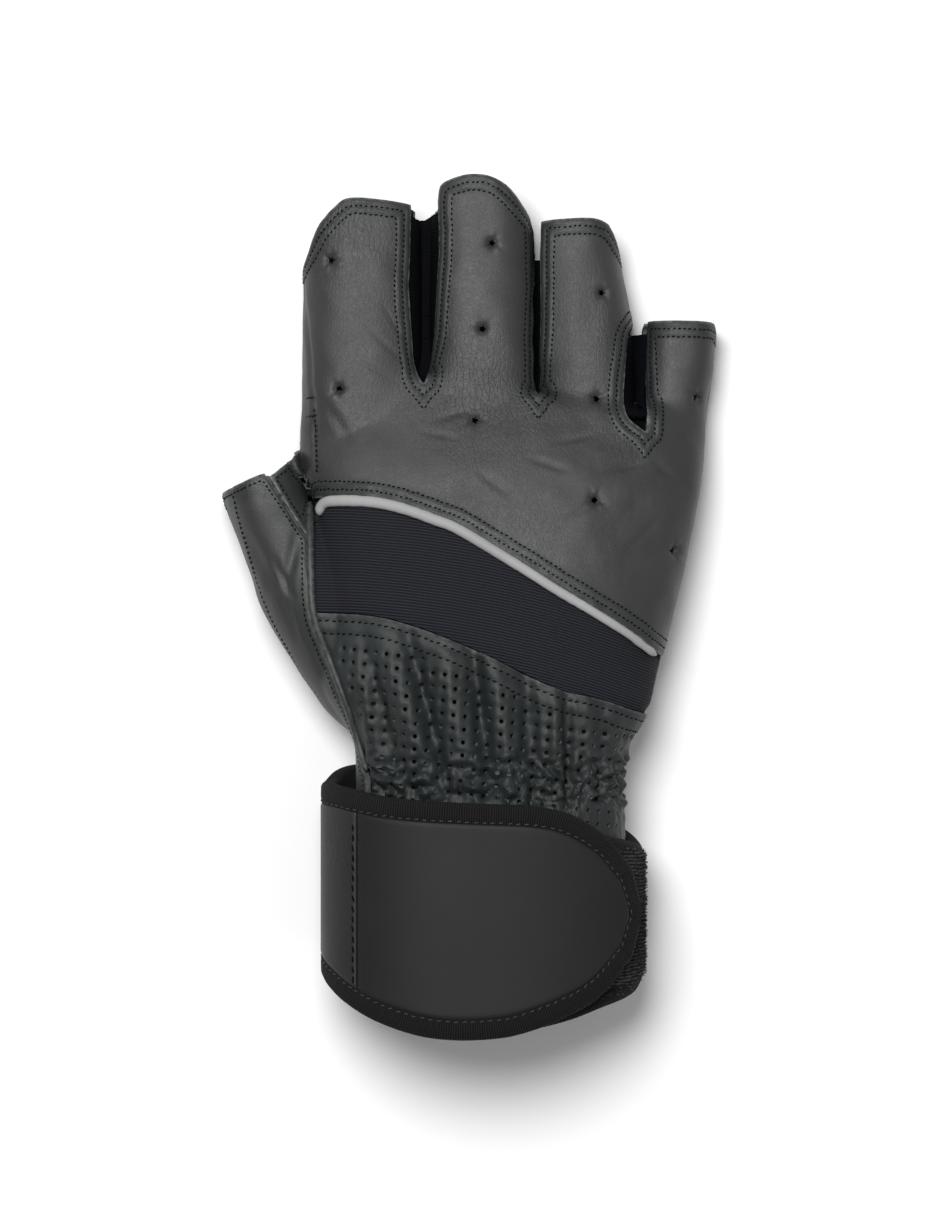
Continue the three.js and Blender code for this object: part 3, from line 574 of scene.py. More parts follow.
# on what, across in its widths, along in its lengths
VENTS = [
    ("index", 0.229, 0.702), ("index", 0.297, 0.087), ("middle", 0.587, 0.706),
    ("middle", 0.498, 0.336), ("ring", 0.63, 0.607), ("ring", 0.57, 0.053),
    ("little", 0.85, 0.12), ("palm", 0.424, 0.967), ("palm", 0.717, 0.738),
    ("palm", 0.917, 0.592),
]
SIDE_SEAM = 0.44
BACK_ROOM, STRETCH_ROOM, WELT_ROOM, SEAM_ROOM = 0.7, -0.1, 0.5, 0.15


def seam(rows):
    return smooth_line([(across(a), along(b)) for a, b in rows])


FAR = 400.0
UP = [(FAR, FAR), (-FAR, FAR)]
DOWN = [(FAR, -FAR), (-FAR, -FAR)]
RIGHT = [(FAR, -FAR), (FAR, FAR)]
LEFT = [(-FAR, -FAR), (-FAR, FAR)]


def beside(rows, offset, corners):
    """Outline of all that lies on one side of a seam, from an offset to its left."""
    return [*moved_sideways(seam(rows), offset), *corners]


def side_outline(above):
    lift = 0.1 if above else -0.1
    rows = [(along(row[0]), SIDE_SEAM * row[3] * palm_depth + lift) for row in HAND[2:-1]]
    finger_seam = SIDE_SEAM * finger_depth + lift
    line = [(wrist_line - 2 * cuff_length, rows[0][1]), *rows,
            (along(SLITS[0][1]) + web_height, finger_seam), (FINGERS_END, finger_seam)]
    limit = SKY if above else DEPTH
    return [*line, (FINGERS_END, limit), (line[0][0], limit)]


def gusset_outline(margin):
    line = [(across(a) - margin, along(b) - margin) for a, b in GUSSET_LINE]
    right = across(0.1) + margin
    return [*line, (right, line[-1][1]), (right, line[0][1])]


def vent_place(on, share_across, share_along):
    for finger in FINGERS:
        if finger["name"] == on:
            return (finger["left"] + share_across * finger["width"],
                    knuckle_line + share_along * finger["length"])
    return across(share_across), along(share_along)


def vent_tool(x, y):
    turn = np.linspace(0, 2 * np.pi, 10, endpoint=False)
    reach = 0.75 * (1 + 0.25 * np.cos(5 * turn))
    ring = np.column_stack([x + reach * np.cos(turn), y + reach * np.sin(turn)])
    tool = prism(ring)
    low = SIDE_SEAM * palm_depth * MM
    for vert in tool.data.vertices:
        vert.co.z = max(vert.co.z, low)
    return tool


# %% [markdown]
# ## Panels
# Each panel is a copy of the last, kept where its prisms say and cut open where another panel
# or an opening lies.

# %% Rays on the last
last_tree = BVHTree.FromPolygons([vert.co for vert in last.data.vertices],
                                 [polygon.vertices for polygon in last.data.polygons])


def on_last(x, y):
    """The last's surface under a place seen from above, with its normal."""
    place, normal, index, reach = last_tree.ray_cast(Vector((x, y, SKY)) * MM, Vector((0, 0, -1)))
    return place, normal


# %% [markdown]
# ### Punched holes
# The holes run in rows an even distance apart over the leather. A row walks across the last by
# short steps, and each step is shorter where the leather slopes away from the eye.

# %% Punched holes
PUNCH_PITCH, PUNCH_ROW, PUNCH_SLOPE, PUNCH_RADIUS = 2.93, 3.18, -0.13, 0.56
PUNCH_START, PUNCH_SHIFT, PUNCH_ROWS = -2.0, -0.25, 22
PUNCH_BELOW_SEAM, PUNCH_FROM_WELT, PUNCH_LOWEST = 6.8, 3.0, 17.0


def punch_row(x, y, way):
    """Places of one row of holes, an even distance apart over the curved leather."""
    found = []
    while abs(x) < 60:
        place, normal = on_last(x, y)
        if place is None or normal.z < 0.3:
            break
        found.append((place, normal))
        step = way * PUNCH_PITCH * normal.z / math.hypot(normal.x, normal.z)
        x, y = x + step, y + step * PUNCH_SLOPE
    return found


def punch_tool():
    """Small pegs that stand square to the leather, one for each punched hole."""
    bm = bmesh.new()
    seam_line, welt_line = seam(GATHER_LINE), seam(THUMB_LINE)
    for row in range(PUNCH_ROWS):
        x, y = PUNCH_START + PUNCH_SHIFT * row, along(0.42) - row * PUNCH_ROW
        for place, normal in punch_row(x, y, 1) + punch_row(x - 2.9, y + 0.38, -1):
            px, py = place.x / MM, place.y / MM
            under = np.interp(px, seam_line[:, 0], seam_line[:, 1]) - py
            inside = px - np.interp(-py, -welt_line[:, 1], welt_line[:, 0])
            if (under < PUNCH_BELOW_SEAM or inside < PUNCH_FROM_WELT
                    or py < wrist_line - PUNCH_LOWEST):
                continue
            turn = Matrix.Translation(place) @ normal.to_track_quat("Z", "Y").to_matrix().to_4x4()
            bmesh.ops.create_cone(bm, cap_ends=True, segments=9, radius1=PUNCH_RADIUS * MM,
                                  radius2=PUNCH_RADIUS * MM, depth=5 * MM, matrix=turn)
    return as_tool(bm)


# %% Cutting one panel
FLAP_SHIFT = (-1.1, 0.0, 1.5)


def lay_flap(piece):
    """The ring finger's hem stands out over the slit instead of following the finger."""
    spots = columns(piece.data.vertices, "co", 3) / MM
    x, y = SLIT_POINTS[1]
    gap = spots[:, 0] - np.interp(spots[:, 1] - y, *np.array(SLIT_EDGES[1][1])[::-1].T) - x
    share = np.clip(1 - gap / 6.0, 0, 1) ** 2 * (gap > -1) * np.clip((spots[:, 1] - y) / 8, 0, 1)
    share *= spots[:, 2] > 10
    spots += share[:, None] * FLAP_SHIFT
    put(piece, spots * MM)


def cut_panel(name, keep, remove):
    """An open sheet cut from the last, without crumbs."""
    piece = bpy.data.objects.new(name, last.data.copy())
    bpy.context.scene.collection.objects.link(piece)
    combine(piece, keep, "INTERSECT")
    combine(piece, remove, "DIFFERENCE")
    bm = bmesh.new()
    bm.from_mesh(piece.data)
    walls = [face for face in bm.faces if face.material_index == CUT]
    bmesh.ops.delete(bm, geom=walls, context="FACES")
    bmesh.ops.remove_doubles(bm, verts=bm.verts, dist=0.03 * MM)
    bmesh.ops.dissolve_degenerate(bm, edges=bm.edges, dist=0.02 * MM)
    islands, seen = [], set()
    for start in bm.faces:
        if start in seen:
            continue
        island, front = [], [start]
        seen.add(start)
        while front:
            face = front.pop()
            island.append(face)
            for edge in face.edges:
                for other in edge.link_faces:
                    if other not in seen:
                        seen.add(other)
                        front.append(other)
        islands.append(island)
    islands.sort(key=len)
    bmesh.ops.delete(bm, geom=[face for island in islands[:-1] for face in island],
                     context="FACES")
    bm.to_mesh(piece.data)
    bm.free()
    print(name, len(piece.data.polygons), "faces,", len(islands) - 1, "crumbs dropped")
    return piece


PLAIN_HEIGHT, PLAIN_SHARE = 8.0, 0.55


def lighten(piece):
    """Fewer faces on the low, plain part of a sheet; its edges keep theirs."""
    plain = piece.vertex_groups.new(name="plain")
    for vert in piece.data.vertices:
        if vert.co.z < PLAIN_HEIGHT * MM:
            plain.add([vert.index], 1.0, "REPLACE")
    fewer = piece.modifiers.new("fewer", "DECIMATE")
    fewer.ratio, fewer.vertex_group = PLAIN_SHARE, "plain"
    baked(piece)
    print(piece.name, len(piece.data.polygons), "faces after lightening")


# %% [markdown]
# ### Which prisms make which panel
# Each panel is what lies inside all of its first list and outside all of its second. The
# rooms between neighbours are a few tenths of a millimetre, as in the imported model.

# %% The prisms
UNDER_WALLS = (0.6, 0.1, 0.2)
WALL_REACH, BACK_REACH, LINING_REACH = 1.3, 0.3, 3.5
FOLD_TOP = 98.8

upper, lower = prism(side_outline(True), True), prism(side_outline(False), True)
hand_side = prism(beside(THUMB_LINE, WELT_ROOM, RIGHT))
thumb_side = prism(beside(THUMB_LINE, -WELT_ROOM, LEFT))
under_welt = prism(beside(THUMB_LINE, -LINING_REACH, RIGHT))
above_piping = prism(beside(PIPING_LINE, BACK_ROOM, UP))
below_piping = prism(beside(PIPING_LINE, STRETCH_ROOM, DOWN))
above_gathers = prism(beside(GATHER_LINE, SEAM_ROOM, UP))
below_gathers = prism(beside(GATHER_LINE, -SEAM_ROOM, DOWN))
slit_tools = [prism(slit_outline(number, WALL_REACH)) for number in range(3)]
between_fingers = [prism(slit_outline(number, BACK_REACH)) for number in range(3)]
under_walls = [prism(slit_outline(number, -room)) for number, room in enumerate(UNDER_WALLS)]
openings = [prism(opening_outline(number)) for number in range(4)]
openings.append(prism(thumb_opening(0.0, across(-0.023))))
cuff_end = prism([(-90, wrist_line - cuff_length), (90, wrist_line - cuff_length),
                  (90, -190), (-90, -190)])
past_fold = prism([(-30, FOLD_TOP), (0, FOLD_TOP), (0, 150), (-30, 150)])
gusset_tool, gusset_room = prism(gusset_outline(0)), prism(gusset_outline(0.2))
vent_places = [vent_place(*vent) for vent in VENTS]
vent_tools = [vent_tool(x, y) for x, y in vent_places]
print("cutting tools ready,", len(vent_tools), "vents")

# %% Cutting the panels
back = cut_panel("finger_backs", [upper, hand_side, above_piping],
                 [*between_fingers, *openings, *vent_tools])
lay_flap(back)
stretch = cut_panel("stretch_back", [upper, hand_side, below_piping, above_gathers], [])
wrist = cut_panel("wrist_gathers", [upper, hand_side, below_gathers], [cuff_end, punch_tool()])
wrist_inside = cut_panel("wrist_lining", [upper, under_welt, below_gathers], [cuff_end])
thumb_back = cut_panel("thumb_back", [upper, thumb_side], [gusset_room, *openings, cuff_end])
thumb_inner = cut_panel("thumb_inner", [upper, thumb_side, gusset_tool], openings)
palm = cut_panel("palm", [lower], [*under_walls, *openings, cuff_end])
lighten(palm)
walls = [cut_panel("side_walls_" + name, [tool], [*openings, past_fold])
         for (name, web), tool in zip(SLITS, slit_tools)]

# %% [markdown]
# ## Shaping the leather
# Sewn leather isn't smooth: it dips at its seams, puckers between stitches, and creases where
# the hand bends. Each effect is a small push along the surface's own direction, and how far a
# point lies from the panel's edge decides most of them, so that distance is measured first.

# %% The edge of a sheet, and how far each point is from it
def seam_height(y):
    """Height of the side seam at a place along the hand, in millimetres."""
    rows = side_outline(True)[:-2]
    return np.interp(y, [row[0] for row in rows], [row[1] for row in rows])


def edge_loops(mesh):
    """Points of the sheet's outer edge and of the holes in it, in millimetres."""
    bm = bmesh.new()
    bm.from_mesh(mesh)
    loops, seen = [], set()
    for start in bm.verts:
        if not start.is_boundary or start in seen:
            continue
        loop, front = [], [start]
        seen.add(start)
        while front:
            vert = front.pop()
            loop.append(list(vert.co))
            for edge in vert.link_edges:
                other = edge.other_vert(vert)
                if edge.is_boundary and other not in seen:
                    seen.add(other)
                    front.append(other)
        loops.append(np.array(loop) / MM)
    bm.free()
    loops.sort(key=lambda loop: np.ptp(loop, axis=0).max())
    return loops[-1], np.vstack([loops[-1][:1], *loops[:-1]])


def sewn_edge(edge, skipped):
    """The part of an edge that is away from the side seam, the cuff and skipped seams."""
    kept = np.abs(edge[:, 2] - seam_height(edge[:, 1])) > 0.5
    kept &= edge[:, 1] > wrist_line - cuff_length + 0.5
    for rows in skipped:
        kept &= distances(edge * (1, 1, 0), grounded(seam(rows))) > 2.0
    return edge[kept]


def pointed(places, sewn):
    """Below each slit's point, the distance that lets stitch rows meet in a point too."""
    for point in np.array(SLIT_POINTS):
        for lean in (-1, 1):
            side = np.array([lean * math.cos(SLIT_ANGLE), -math.sin(SLIT_ANGLE)])
            away = (places[:, :2] - point) @ side
            other = (places[:, :2] - point) @ (side * (-1, 1))
            wedge = (away > 0) & (other > 0) & (away >= other) & (places[:, 2] > 12)
            wedge &= np.hypot(*(places[:, :2] - point).T) < 11
            sewn = np.where(wedge, away, sewn)
    return sewn


# %% Waves, creases and dents
def waves(places, size, seed):
    """Smooth noise from -1 to 1 with waves of about a size in millimetres."""
    return np.array([noise.noise(Vector(place) / size + Vector((seed, 0, 0))) for place in places])


def fall(distance, reach):
    """1 at no distance, easing to 0 at the reach."""
    share = np.clip(1 - distance / reach, 0, 1)
    return share * share * (3 - 2 * share)


def crease(places, rows):
    """Depth of creases: each runs between two points and has a width and a depth."""
    depth = np.zeros(len(places))
    for x1, y1, x2, y2, width, deep in rows:
        start, way = np.array([x1, y1]), np.array([x2 - x1, y2 - y1])
        share = np.clip(((places[:, :2] - start) @ way) / (way @ way), 0, 1)
        away = np.linalg.norm(places[:, :2] - start - share[:, None] * way, axis=1)
        depth += deep * fall(away, width) * np.sin(np.pi * (0.1 + 0.8 * share))
    return depth


def star_dents(places):
    """A pit with creased rays round each punched vent."""
    depth = np.zeros(len(places))
    for number, (x, y) in enumerate(vent_places):
        side, rise = places[:, 0] - x, places[:, 1] - y
        reach, turn = np.hypot(side, rise), np.arctan2(rise, side)
        rays = 0.5 + 0.6 * np.cos(5 * turn + number) + 0.4 * np.cos(8 * turn + 2 * number)
        depth += 0.55 * np.exp(-(reach / 1.1) ** 2) + 0.5 * np.exp(-(reach / 1.9) ** 2) * rays
    return depth


# %% [markdown]
# ### Lines at a distance
# A stitch row keeps one distance from the seam. It is a level line of that distance, like a
# contour on a map: found edge by edge where the value crosses the level, then linked up.

# %% Level lines
def level_lines(mesh, values, level):
    """Lines along a sheet where a value of its points crosses a level, with normals."""
    spots = columns(mesh.vertices, "co", 3)
    normals = columns(mesh.vertices, "normal", 3)
    links, found = {}, {}
    for polygon in mesh.polygons:
        crossed = []
        for one, two in polygon.edge_keys:
            if (values[one] < level) != (values[two] < level):
                share = (level - values[one]) / (values[two] - values[one])
                found[(one, two)] = (spots[one] + share * (spots[two] - spots[one]),
                                     normals[one] + share * (normals[two] - normals[one]))
                crossed.append((one, two))
        if len(crossed) == 2:
            links.setdefault(crossed[0], []).append(crossed[1])
            links.setdefault(crossed[1], []).append(crossed[0])
    lines, used = [], set()
    ends = [key for key, near in links.items() if len(near) == 1]
    for start in ends + list(links):
        if start in used:
            continue
        line, key = [], start
        while key is not None:
            used.add(key)
            line.append(np.concatenate(found[key]))
            key = next((near for near in links[key] if near not in used), None)
        lines.append(np.array(line))
    return lines


# %% [markdown]
# ## Stitches
# A lock stitch shows as a short, plump thread lying in its hole-to-hole dip. One low sphere,
# stretched, is copied along the row: hundreds of them have to stay light.

# %% Stitch rows
LOWEST_STITCH, SLANT = 0.5, 0.2


def stitch_rows(name, lines, thread, slot, length=0.85, pitch=1.3, width=0.52, shortest=6.0):
    """One mesh of stitches along lines of places and normals, in metres."""
    chance = random.Random(name)
    bm = bmesh.new()
    bmesh.ops.create_uvsphere(bm, u_segments=6, v_segments=4, radius=0.5)
    seed = bpy.data.meshes.new("stitch")
    bm.to_mesh(seed)
    bm.clear()
    count = 0
    for line in lines:
        reach = travelled(line[:, :3]) / MM
        if reach[-1] < shortest:
            continue
        at = np.arange(pitch / 2, reach[-1] - pitch / 2, pitch)
        place, before, after = (
            np.column_stack([np.interp(at + step, reach, column) for column in line.T])
            for step in (0, -pitch / 3, pitch / 3)
        )
        for spot, near, far in zip(place, before, after):
            if spot[2] < LOWEST_STITCH * MM:
                continue
            way = Vector(far[:3] - near[:3]).normalized()
            up = Vector(spot[3:]).normalized()
            side = up.cross(way).normalized()
            turn = Matrix((side * width * MM, way.cross(side) * -width * 0.8 * MM,
                           way * length * MM)).transposed().to_4x4()
            one = seed.copy()
            shift = side * chance.uniform(-0.1, 0.1) * MM + way * chance.uniform(-0.12, 0.12) * MM
            tilt = Matrix.Rotation(chance.uniform(-0.22, 0.22) + SLANT, 4, up)
            one.transform(Matrix.Translation(Vector(spot[:3]) + shift) @ tilt @ turn)
            bm.from_mesh(one)
            bpy.data.meshes.remove(one)
            count += 1
    bmesh.ops.recalc_face_normals(bm, faces=bm.faces)
    for face in bm.faces:
        face.smooth = True
    rows = new_object(name, bm)
    rows.data.materials.append(thread)
    bpy.data.meshes.remove(seed)
    declare(rows, slot)
    print(name, count, "stitches")


# %% [markdown]
# ## From sheet to wall
# A panel stays a sheet without thickness until its folds are made, because one surface is
# easier to push about than two. Solidify then gives it its wall, with one material for the
# face, one for the lining and one for the raw edge.

# %% Giving a sheet its thickness and its place in the table
def keep_value(piece, name, values):
    layer = piece.data.attributes.new(name, "FLOAT", "POINT")
    layer.data.foreach_set("value", np.asarray(values, np.float32))


def laid_line(points):
    """Places and normals along a line drawn from above, where it meets the last."""
    found = [on_last(x, y) for x, y in smooth_line(points)]
    return np.array([[*place, *normal] for place, normal in found if place is not None])


def thicken(piece, thickness, materials):
    """A wall behind the sheet: its face, its lining and its cut edge take their materials."""
    piece.data.materials.clear()
    for material in materials:
        piece.data.materials.append(material)
    for polygon in piece.data.polygons:
        polygon.material_index = 0
        polygon.use_smooth = True
    wall = piece.modifiers.new("wall", "SOLIDIFY")
    wall.thickness, wall.offset = thickness * MM, -1
    wall.material_offset, wall.material_offset_rim = 1, 2
    baked(piece)
    put(piece, columns(piece.data.vertices, "co", 3))
    piece.data.set_sharp_from_angle(angle=math.radians(50))


def declare(piece, slot, *nodes):
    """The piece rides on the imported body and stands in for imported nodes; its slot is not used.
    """
    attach(piece, "root")
    if nodes:
        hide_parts(*nodes)


# %% [markdown]
# ## Finishes
# The leather's grain, its worn light edges and the ribs of the fabrics are node groups, made
# once and placed in each material with its own values. Every pattern reads Object
# coordinates, in metres, so that it has its real size on each piece.

# %% Helpers for node groups and materials
def new_group(name, inputs, outputs):
    group = bpy.data.node_groups.new(name, "ShaderNodeTree")
    for label, kind, value in inputs:
        socket = group.interface.new_socket(name=label, in_out="INPUT", socket_type=kind)
        socket.default_value = value
    for label, kind in outputs:
        group.interface.new_socket(name=label, in_out="OUTPUT", socket_type=kind)
    return group, group.nodes.new("NodeGroupInput"), group.nodes.new("NodeGroupOutput")


def feed(tree, socket, value):
    """Links a socket to another one, or sets its plain value."""
    if isinstance(value, bpy.types.NodeSocket):
        tree.links.new(value, socket)
    else:
        socket.default_value = value


def add(tree, kind, **settings):
    """A node with its settings; names that are sockets set a value or make a link."""
    node = tree.nodes.new("ShaderNode" + kind)
    for key, value in settings.items():
        if hasattr(node, key) and key not in node.inputs:
            setattr(node, key, value)
            continue
        label = int(key[1:]) if key[0] == "i" and key[1:].isdigit() else key.replace("_", " ")
        feed(tree, node.inputs[label], value)
    return node


def math_node(tree, operation, one, two=0.5, clamp=False):
    return add(tree, "Math", operation=operation, i0=one, i1=two, use_clamp=clamp).outputs[0]


def ramp(tree, value, low, high, start=0.0, end=1.0):
    node = add(tree, "MapRange", Value=value, clamp=True)
    for label, number in (("From Min", low), ("From Max", high), ("To Min", start),
                          ("To Max", end)):
        node.inputs[label].default_value = number
    return node.outputs["Result"]


def mixed(tree, share, one, two):
    """A colour between two, where either may be a socket or a plain colour."""
    node = tree.nodes.new("ShaderNodeMix")
    node.data_type = "RGBA"
    tree.links.new(share, node.inputs["Factor"])
    feed(tree, node.inputs[6], one)
    feed(tree, node.inputs[7], two)
    return node.outputs[2]


def grey(level):
    return (level, level, level, 1.0)


# %% [markdown]
# ### Leather grain
# Full-grain leather has tiny pores, and where it bends it crackles into longer cells. Both are
# a Voronoi texture's distance to the cell edge; a wide noise decides where it is crackled.

# %% Leather grain group
grain, grain_in, grain_out = new_group(
    "leather_grain",
    [("Cell", "NodeSocketFloat", 2600.0), ("Crackle", "NodeSocketFloat", 850.0),
     ("Wrinkling", "NodeSocketFloat", 0.6)],
    [("Height", "NodeSocketFloat"), ("Mottle", "NodeSocketFloat")],
)
place = add(grain, "TexCoord").outputs["Object"]
warp = add(grain, "TexNoise", Vector=place, Scale=300.0, Detail=3.0)
shifted = add(grain, "VectorMath", operation="MULTIPLY_ADD", i0=warp.outputs["Color"],
              i1=(0.0016, 0.0016, 0.0016), i2=place).outputs[0]
cells = add(grain, "TexVoronoi", feature="DISTANCE_TO_EDGE", Vector=shifted,
            Scale=grain_in.outputs["Cell"])
pores = ramp(grain, cells.outputs["Distance"], 0.0, 0.3)
long_way = add(grain, "Mapping", Vector=shifted, Rotation=(0.0, 0.0, 0.5),
               Scale=(1.0, 0.42, 0.8))
cracks = add(grain, "TexVoronoi", feature="DISTANCE_TO_EDGE", Vector=long_way.outputs[0],
             Scale=grain_in.outputs["Crackle"])
crackle = ramp(grain, cracks.outputs["Distance"], 0.0, 0.16)
blotch = add(grain, "TexNoise", Vector=place, Scale=38.0, Detail=4.0, Roughness=0.55)
zone = ramp(grain, add(grain, "TexNoise", Vector=place, Scale=26.0, Detail=1.0).outputs["Fac"],
            0.46, 0.72)
share = math_node(grain, "MULTIPLY", zone, grain_in.outputs["Wrinkling"])
wrinkles = math_node(grain, "MULTIPLY", crackle, share)
total = math_node(grain, "ADD", math_node(grain, "MULTIPLY", pores, 0.3), wrinkles)
grain.links.new(total, grain_out.inputs["Height"])
grain.links.new(blotch.outputs["Fac"], grain_out.inputs["Mottle"])

# %% [markdown]
# ### Ribs
# Stretch fabric, tape and webbing are all ribbed: rows of yarn side by side, crossed by the
# finer twist of each yarn. One group makes the rows from any direction's coordinate.

# %% Rib group
ribs, ribs_in, ribs_out = new_group(
    "yarn_ribs",
    [("Across", "NodeSocketFloat", 0.0), ("Pitch", "NodeSocketFloat", 0.001),
     ("Wander", "NodeSocketFloat", 0.3)],
    [("Height", "NodeSocketFloat"), ("Fleck", "NodeSocketFloat")],
)
place = add(ribs, "TexCoord").outputs["Object"]
drift = add(ribs, "TexNoise", Vector=place, Scale=90.0, Detail=2.0)
turn = math_node(ribs, "DIVIDE", ribs_in.outputs["Across"], ribs_in.outputs["Pitch"])
wander = math_node(ribs, "MULTIPLY", drift.outputs["Fac"], ribs_in.outputs["Wander"])
angle = math_node(ribs, "MULTIPLY", math_node(ribs, "ADD", turn, wander), 2 * math.pi)
rows = ramp(ribs, math_node(ribs, "SINE", angle, 0.0), -1.0, 1.0)
fleck = add(ribs, "TexNoise", Vector=place, Scale=2600.0, Detail=2.0)
yarn = math_node(ribs, "MULTIPLY", fleck.outputs["Fac"], 0.35)
ribs.links.new(math_node(ribs, "ADD", rows, yarn), ribs_out.inputs["Height"])
ribs.links.new(fleck.outputs["Fac"], ribs_out.inputs["Fleck"])


# %% [markdown]
# ### Recipes for leather and for cloth
# Two functions hold the shader trees. Leather mixes two tones by the grain's mottle, turns
# light and broken where a point lies near a cut edge, and takes its bump from the grain. Cloth
# takes both its colour and its bump from the ribs.

# %% Material recipes
def start_material(name, **values):
    material = bpy.data.materials.new(name)
    material.use_nodes = True
    tree = material.node_tree
    shader = tree.nodes["Principled BSDF"]
    for label, value in values.items():
        shader.inputs[label.replace("_", " ")].default_value = value
    return material, tree, shader


def group_node(tree, group, **values):
    node = tree.nodes.new("ShaderNodeGroup")
    node.node_tree = group
    for label, value in values.items():
        feed(tree, node.inputs[label], value)
    return node


def bump(tree, shader, height, depth, strength=1.0):
    node = add(tree, "Bump", Strength=strength, Distance=depth * MM, Height=height)
    tree.links.new(node.outputs["Normal"], shader.inputs["Normal"])


def leather_material(name, dark, light, worn, cell=2600.0, crackle=850.0, wrinkling=0.7,
                     depth=0.075, rough=0.48, specular=0.3, hem=None):
    """Grained leather whose colour lightens towards its cut edges."""
    material, tree, shader = start_material(name, Specular_IOR_Level=specular)
    skin = group_node(tree, grain, Cell=cell, Crackle=crackle, Wrinkling=wrinkling)
    base = mixed(tree, ramp(tree, skin.outputs["Mottle"], 0.3, 0.7), dark, light)
    if hem:
        seam_gap = add(tree, "Attribute", attribute_name="seam_gap").outputs["Fac"]
        base = mixed(tree, ramp(tree, seam_gap, 4.2, 5.0, 1.0, 0.0), base, hem)
    gap = add(tree, "Attribute", attribute_name="edge_gap").outputs["Fac"]
    edge = ramp(tree, gap, 0.1, 0.75, 1.0, 0.0)
    broken = add(tree, "TexNoise", Scale=700.0, Detail=2.0,
                 Vector=add(tree, "TexCoord").outputs["Object"]).outputs["Fac"]
    rubbed = math_node(tree, "MULTIPLY", edge, ramp(tree, broken, 0.42, 0.6, 0.15, 1.0))
    tree.links.new(mixed(tree, rubbed, base, worn), shader.inputs["Base Color"])
    tree.links.new(ramp(tree, skin.outputs["Mottle"], 0.25, 0.75, rough - 0.05, rough + 0.08),
                   shader.inputs["Roughness"])
    bump(tree, shader, skin.outputs["Height"], depth)
    return material


def ribbed_material(name, dark, light, pitch, axis=1, wander=0.3, depth=0.1, rough=0.85,
                    specular=0.2, uv=False, bend=0.0):
    """Cloth of raised yarns whose pitch is given in millimetres."""
    material, tree, shader = start_material(name, Specular_IOR_Level=specular, Roughness=rough)
    source = add(tree, "TexCoord").outputs["UV" if uv else "Object"]
    split = add(tree, "SeparateXYZ", Vector=source)
    across_ribs = split.outputs[axis]
    if bend:
        side = math_node(tree, "POWER", math_node(tree, "ADD", split.outputs[0], 0.04), 2.0)
        across_ribs = math_node(tree, "ADD", across_ribs, math_node(tree, "MULTIPLY", side, bend))
    rows = group_node(tree, ribs, Across=across_ribs, Pitch=pitch * MM, Wander=wander)
    share = ramp(tree, rows.outputs["Height"], 0.1, 1.1)
    tree.links.new(mixed(tree, share, dark, light), shader.inputs["Base Color"])
    bump(tree, shader, rows.outputs["Height"], depth)
    return material


# %% [markdown]
# ### The finishes of this glove
# Each call names a dark tone, a light tone and, for leather, the tone of its rubbed edges.

# %% The finishes
glove_leather = leather_material("glove_leather", grey(0.021), grey(0.031), grey(0.11),
                                 specular=0.42, hem=(0.0185, 0.0215, 0.021, 1))
punched_leather = leather_material("punched_leather", (0.009, 0.0115, 0.0115, 1),
                                   (0.018, 0.022, 0.022, 1), (0.05, 0.057, 0.056, 1),
                                   wrinkling=0.9, rough=0.52, specular=0.36)
wrap_leather_finish = leather_material("wrap_leather_finish", grey(0.012), grey(0.018),
                                       grey(0.03), crackle=900.0, wrinkling=0.9, specular=0.25)
raw_edge = leather_material("raw_edge", (0.045, 0.052, 0.054, 1), (0.09, 0.1, 0.105, 1),
                            grey(0.12), cell=3400.0, rough=0.8)
lining = ribbed_material("lining", grey(0.008), grey(0.016), 0.5, rough=0.95)
stretch_fabric = ribbed_material("stretch_fabric", (0.003, 0.003, 0.004, 1),
                                 (0.021, 0.022, 0.029, 1), 0.72, wander=0.5, depth=0.2,
                                 bend=2.2)
# A much darker copy of the stretch fabric for the walls between the fingers: the fabric's own
# black with painted shade of the deep slits.
slit_fabric_painted_shade = ribbed_material("slit_fabric_painted_shade", (0.0005, 0.0006, 0.001, 1),
                              (0.003, 0.0033, 0.005, 1), 0.6, wander=0.3, depth=0.1,
                              specular=0.06)
tape = ribbed_material("tape", grey(0.0005), grey(0.013), 0.6, axis=0, wander=0.2, depth=0.35,
                       uv=True)
webbing = ribbed_material("webbing", grey(0.004), grey(0.014), 0.9, axis=2, wander=0.2,
                          depth=0.18)
black_thread = ribbed_material("black_thread", grey(0.001), grey(0.003), 0.25, rough=0.7,
                               depth=0.04, specular=0.08)
grey_thread = ribbed_material("grey_thread", grey(0.02), grey(0.06), 0.25, rough=0.6,
                              depth=0.04)
pile_black = ribbed_material("pile_black", grey(0.006), grey(0.06), 0.9, wander=3.0,
                             rough=0.95, depth=0.1)
panel_finish = leather_material("panel_finish", grey(0.009), grey(0.011), grey(0.016),
                                cell=1800.0, wrinkling=0.0, depth=0.03, rough=0.55,
                                specular=0.22)
piping_grey = leather_material("piping_grey", grey(0.27), grey(0.34), grey(0.36),
                               wrinkling=0.2, depth=0.06, rough=0.6)
print("materials:", len(bpy.data.materials))

# %% [markdown]
# ## The back of the fingers
# This is the panel that the eye meets first. Its edges dip to the seams, two rows of stitches
# follow the slits and openings, and each punched hole has pulled the leather into a star.

# %% Sewn leather
ROW_LEVELS = (2.1, 4.1)

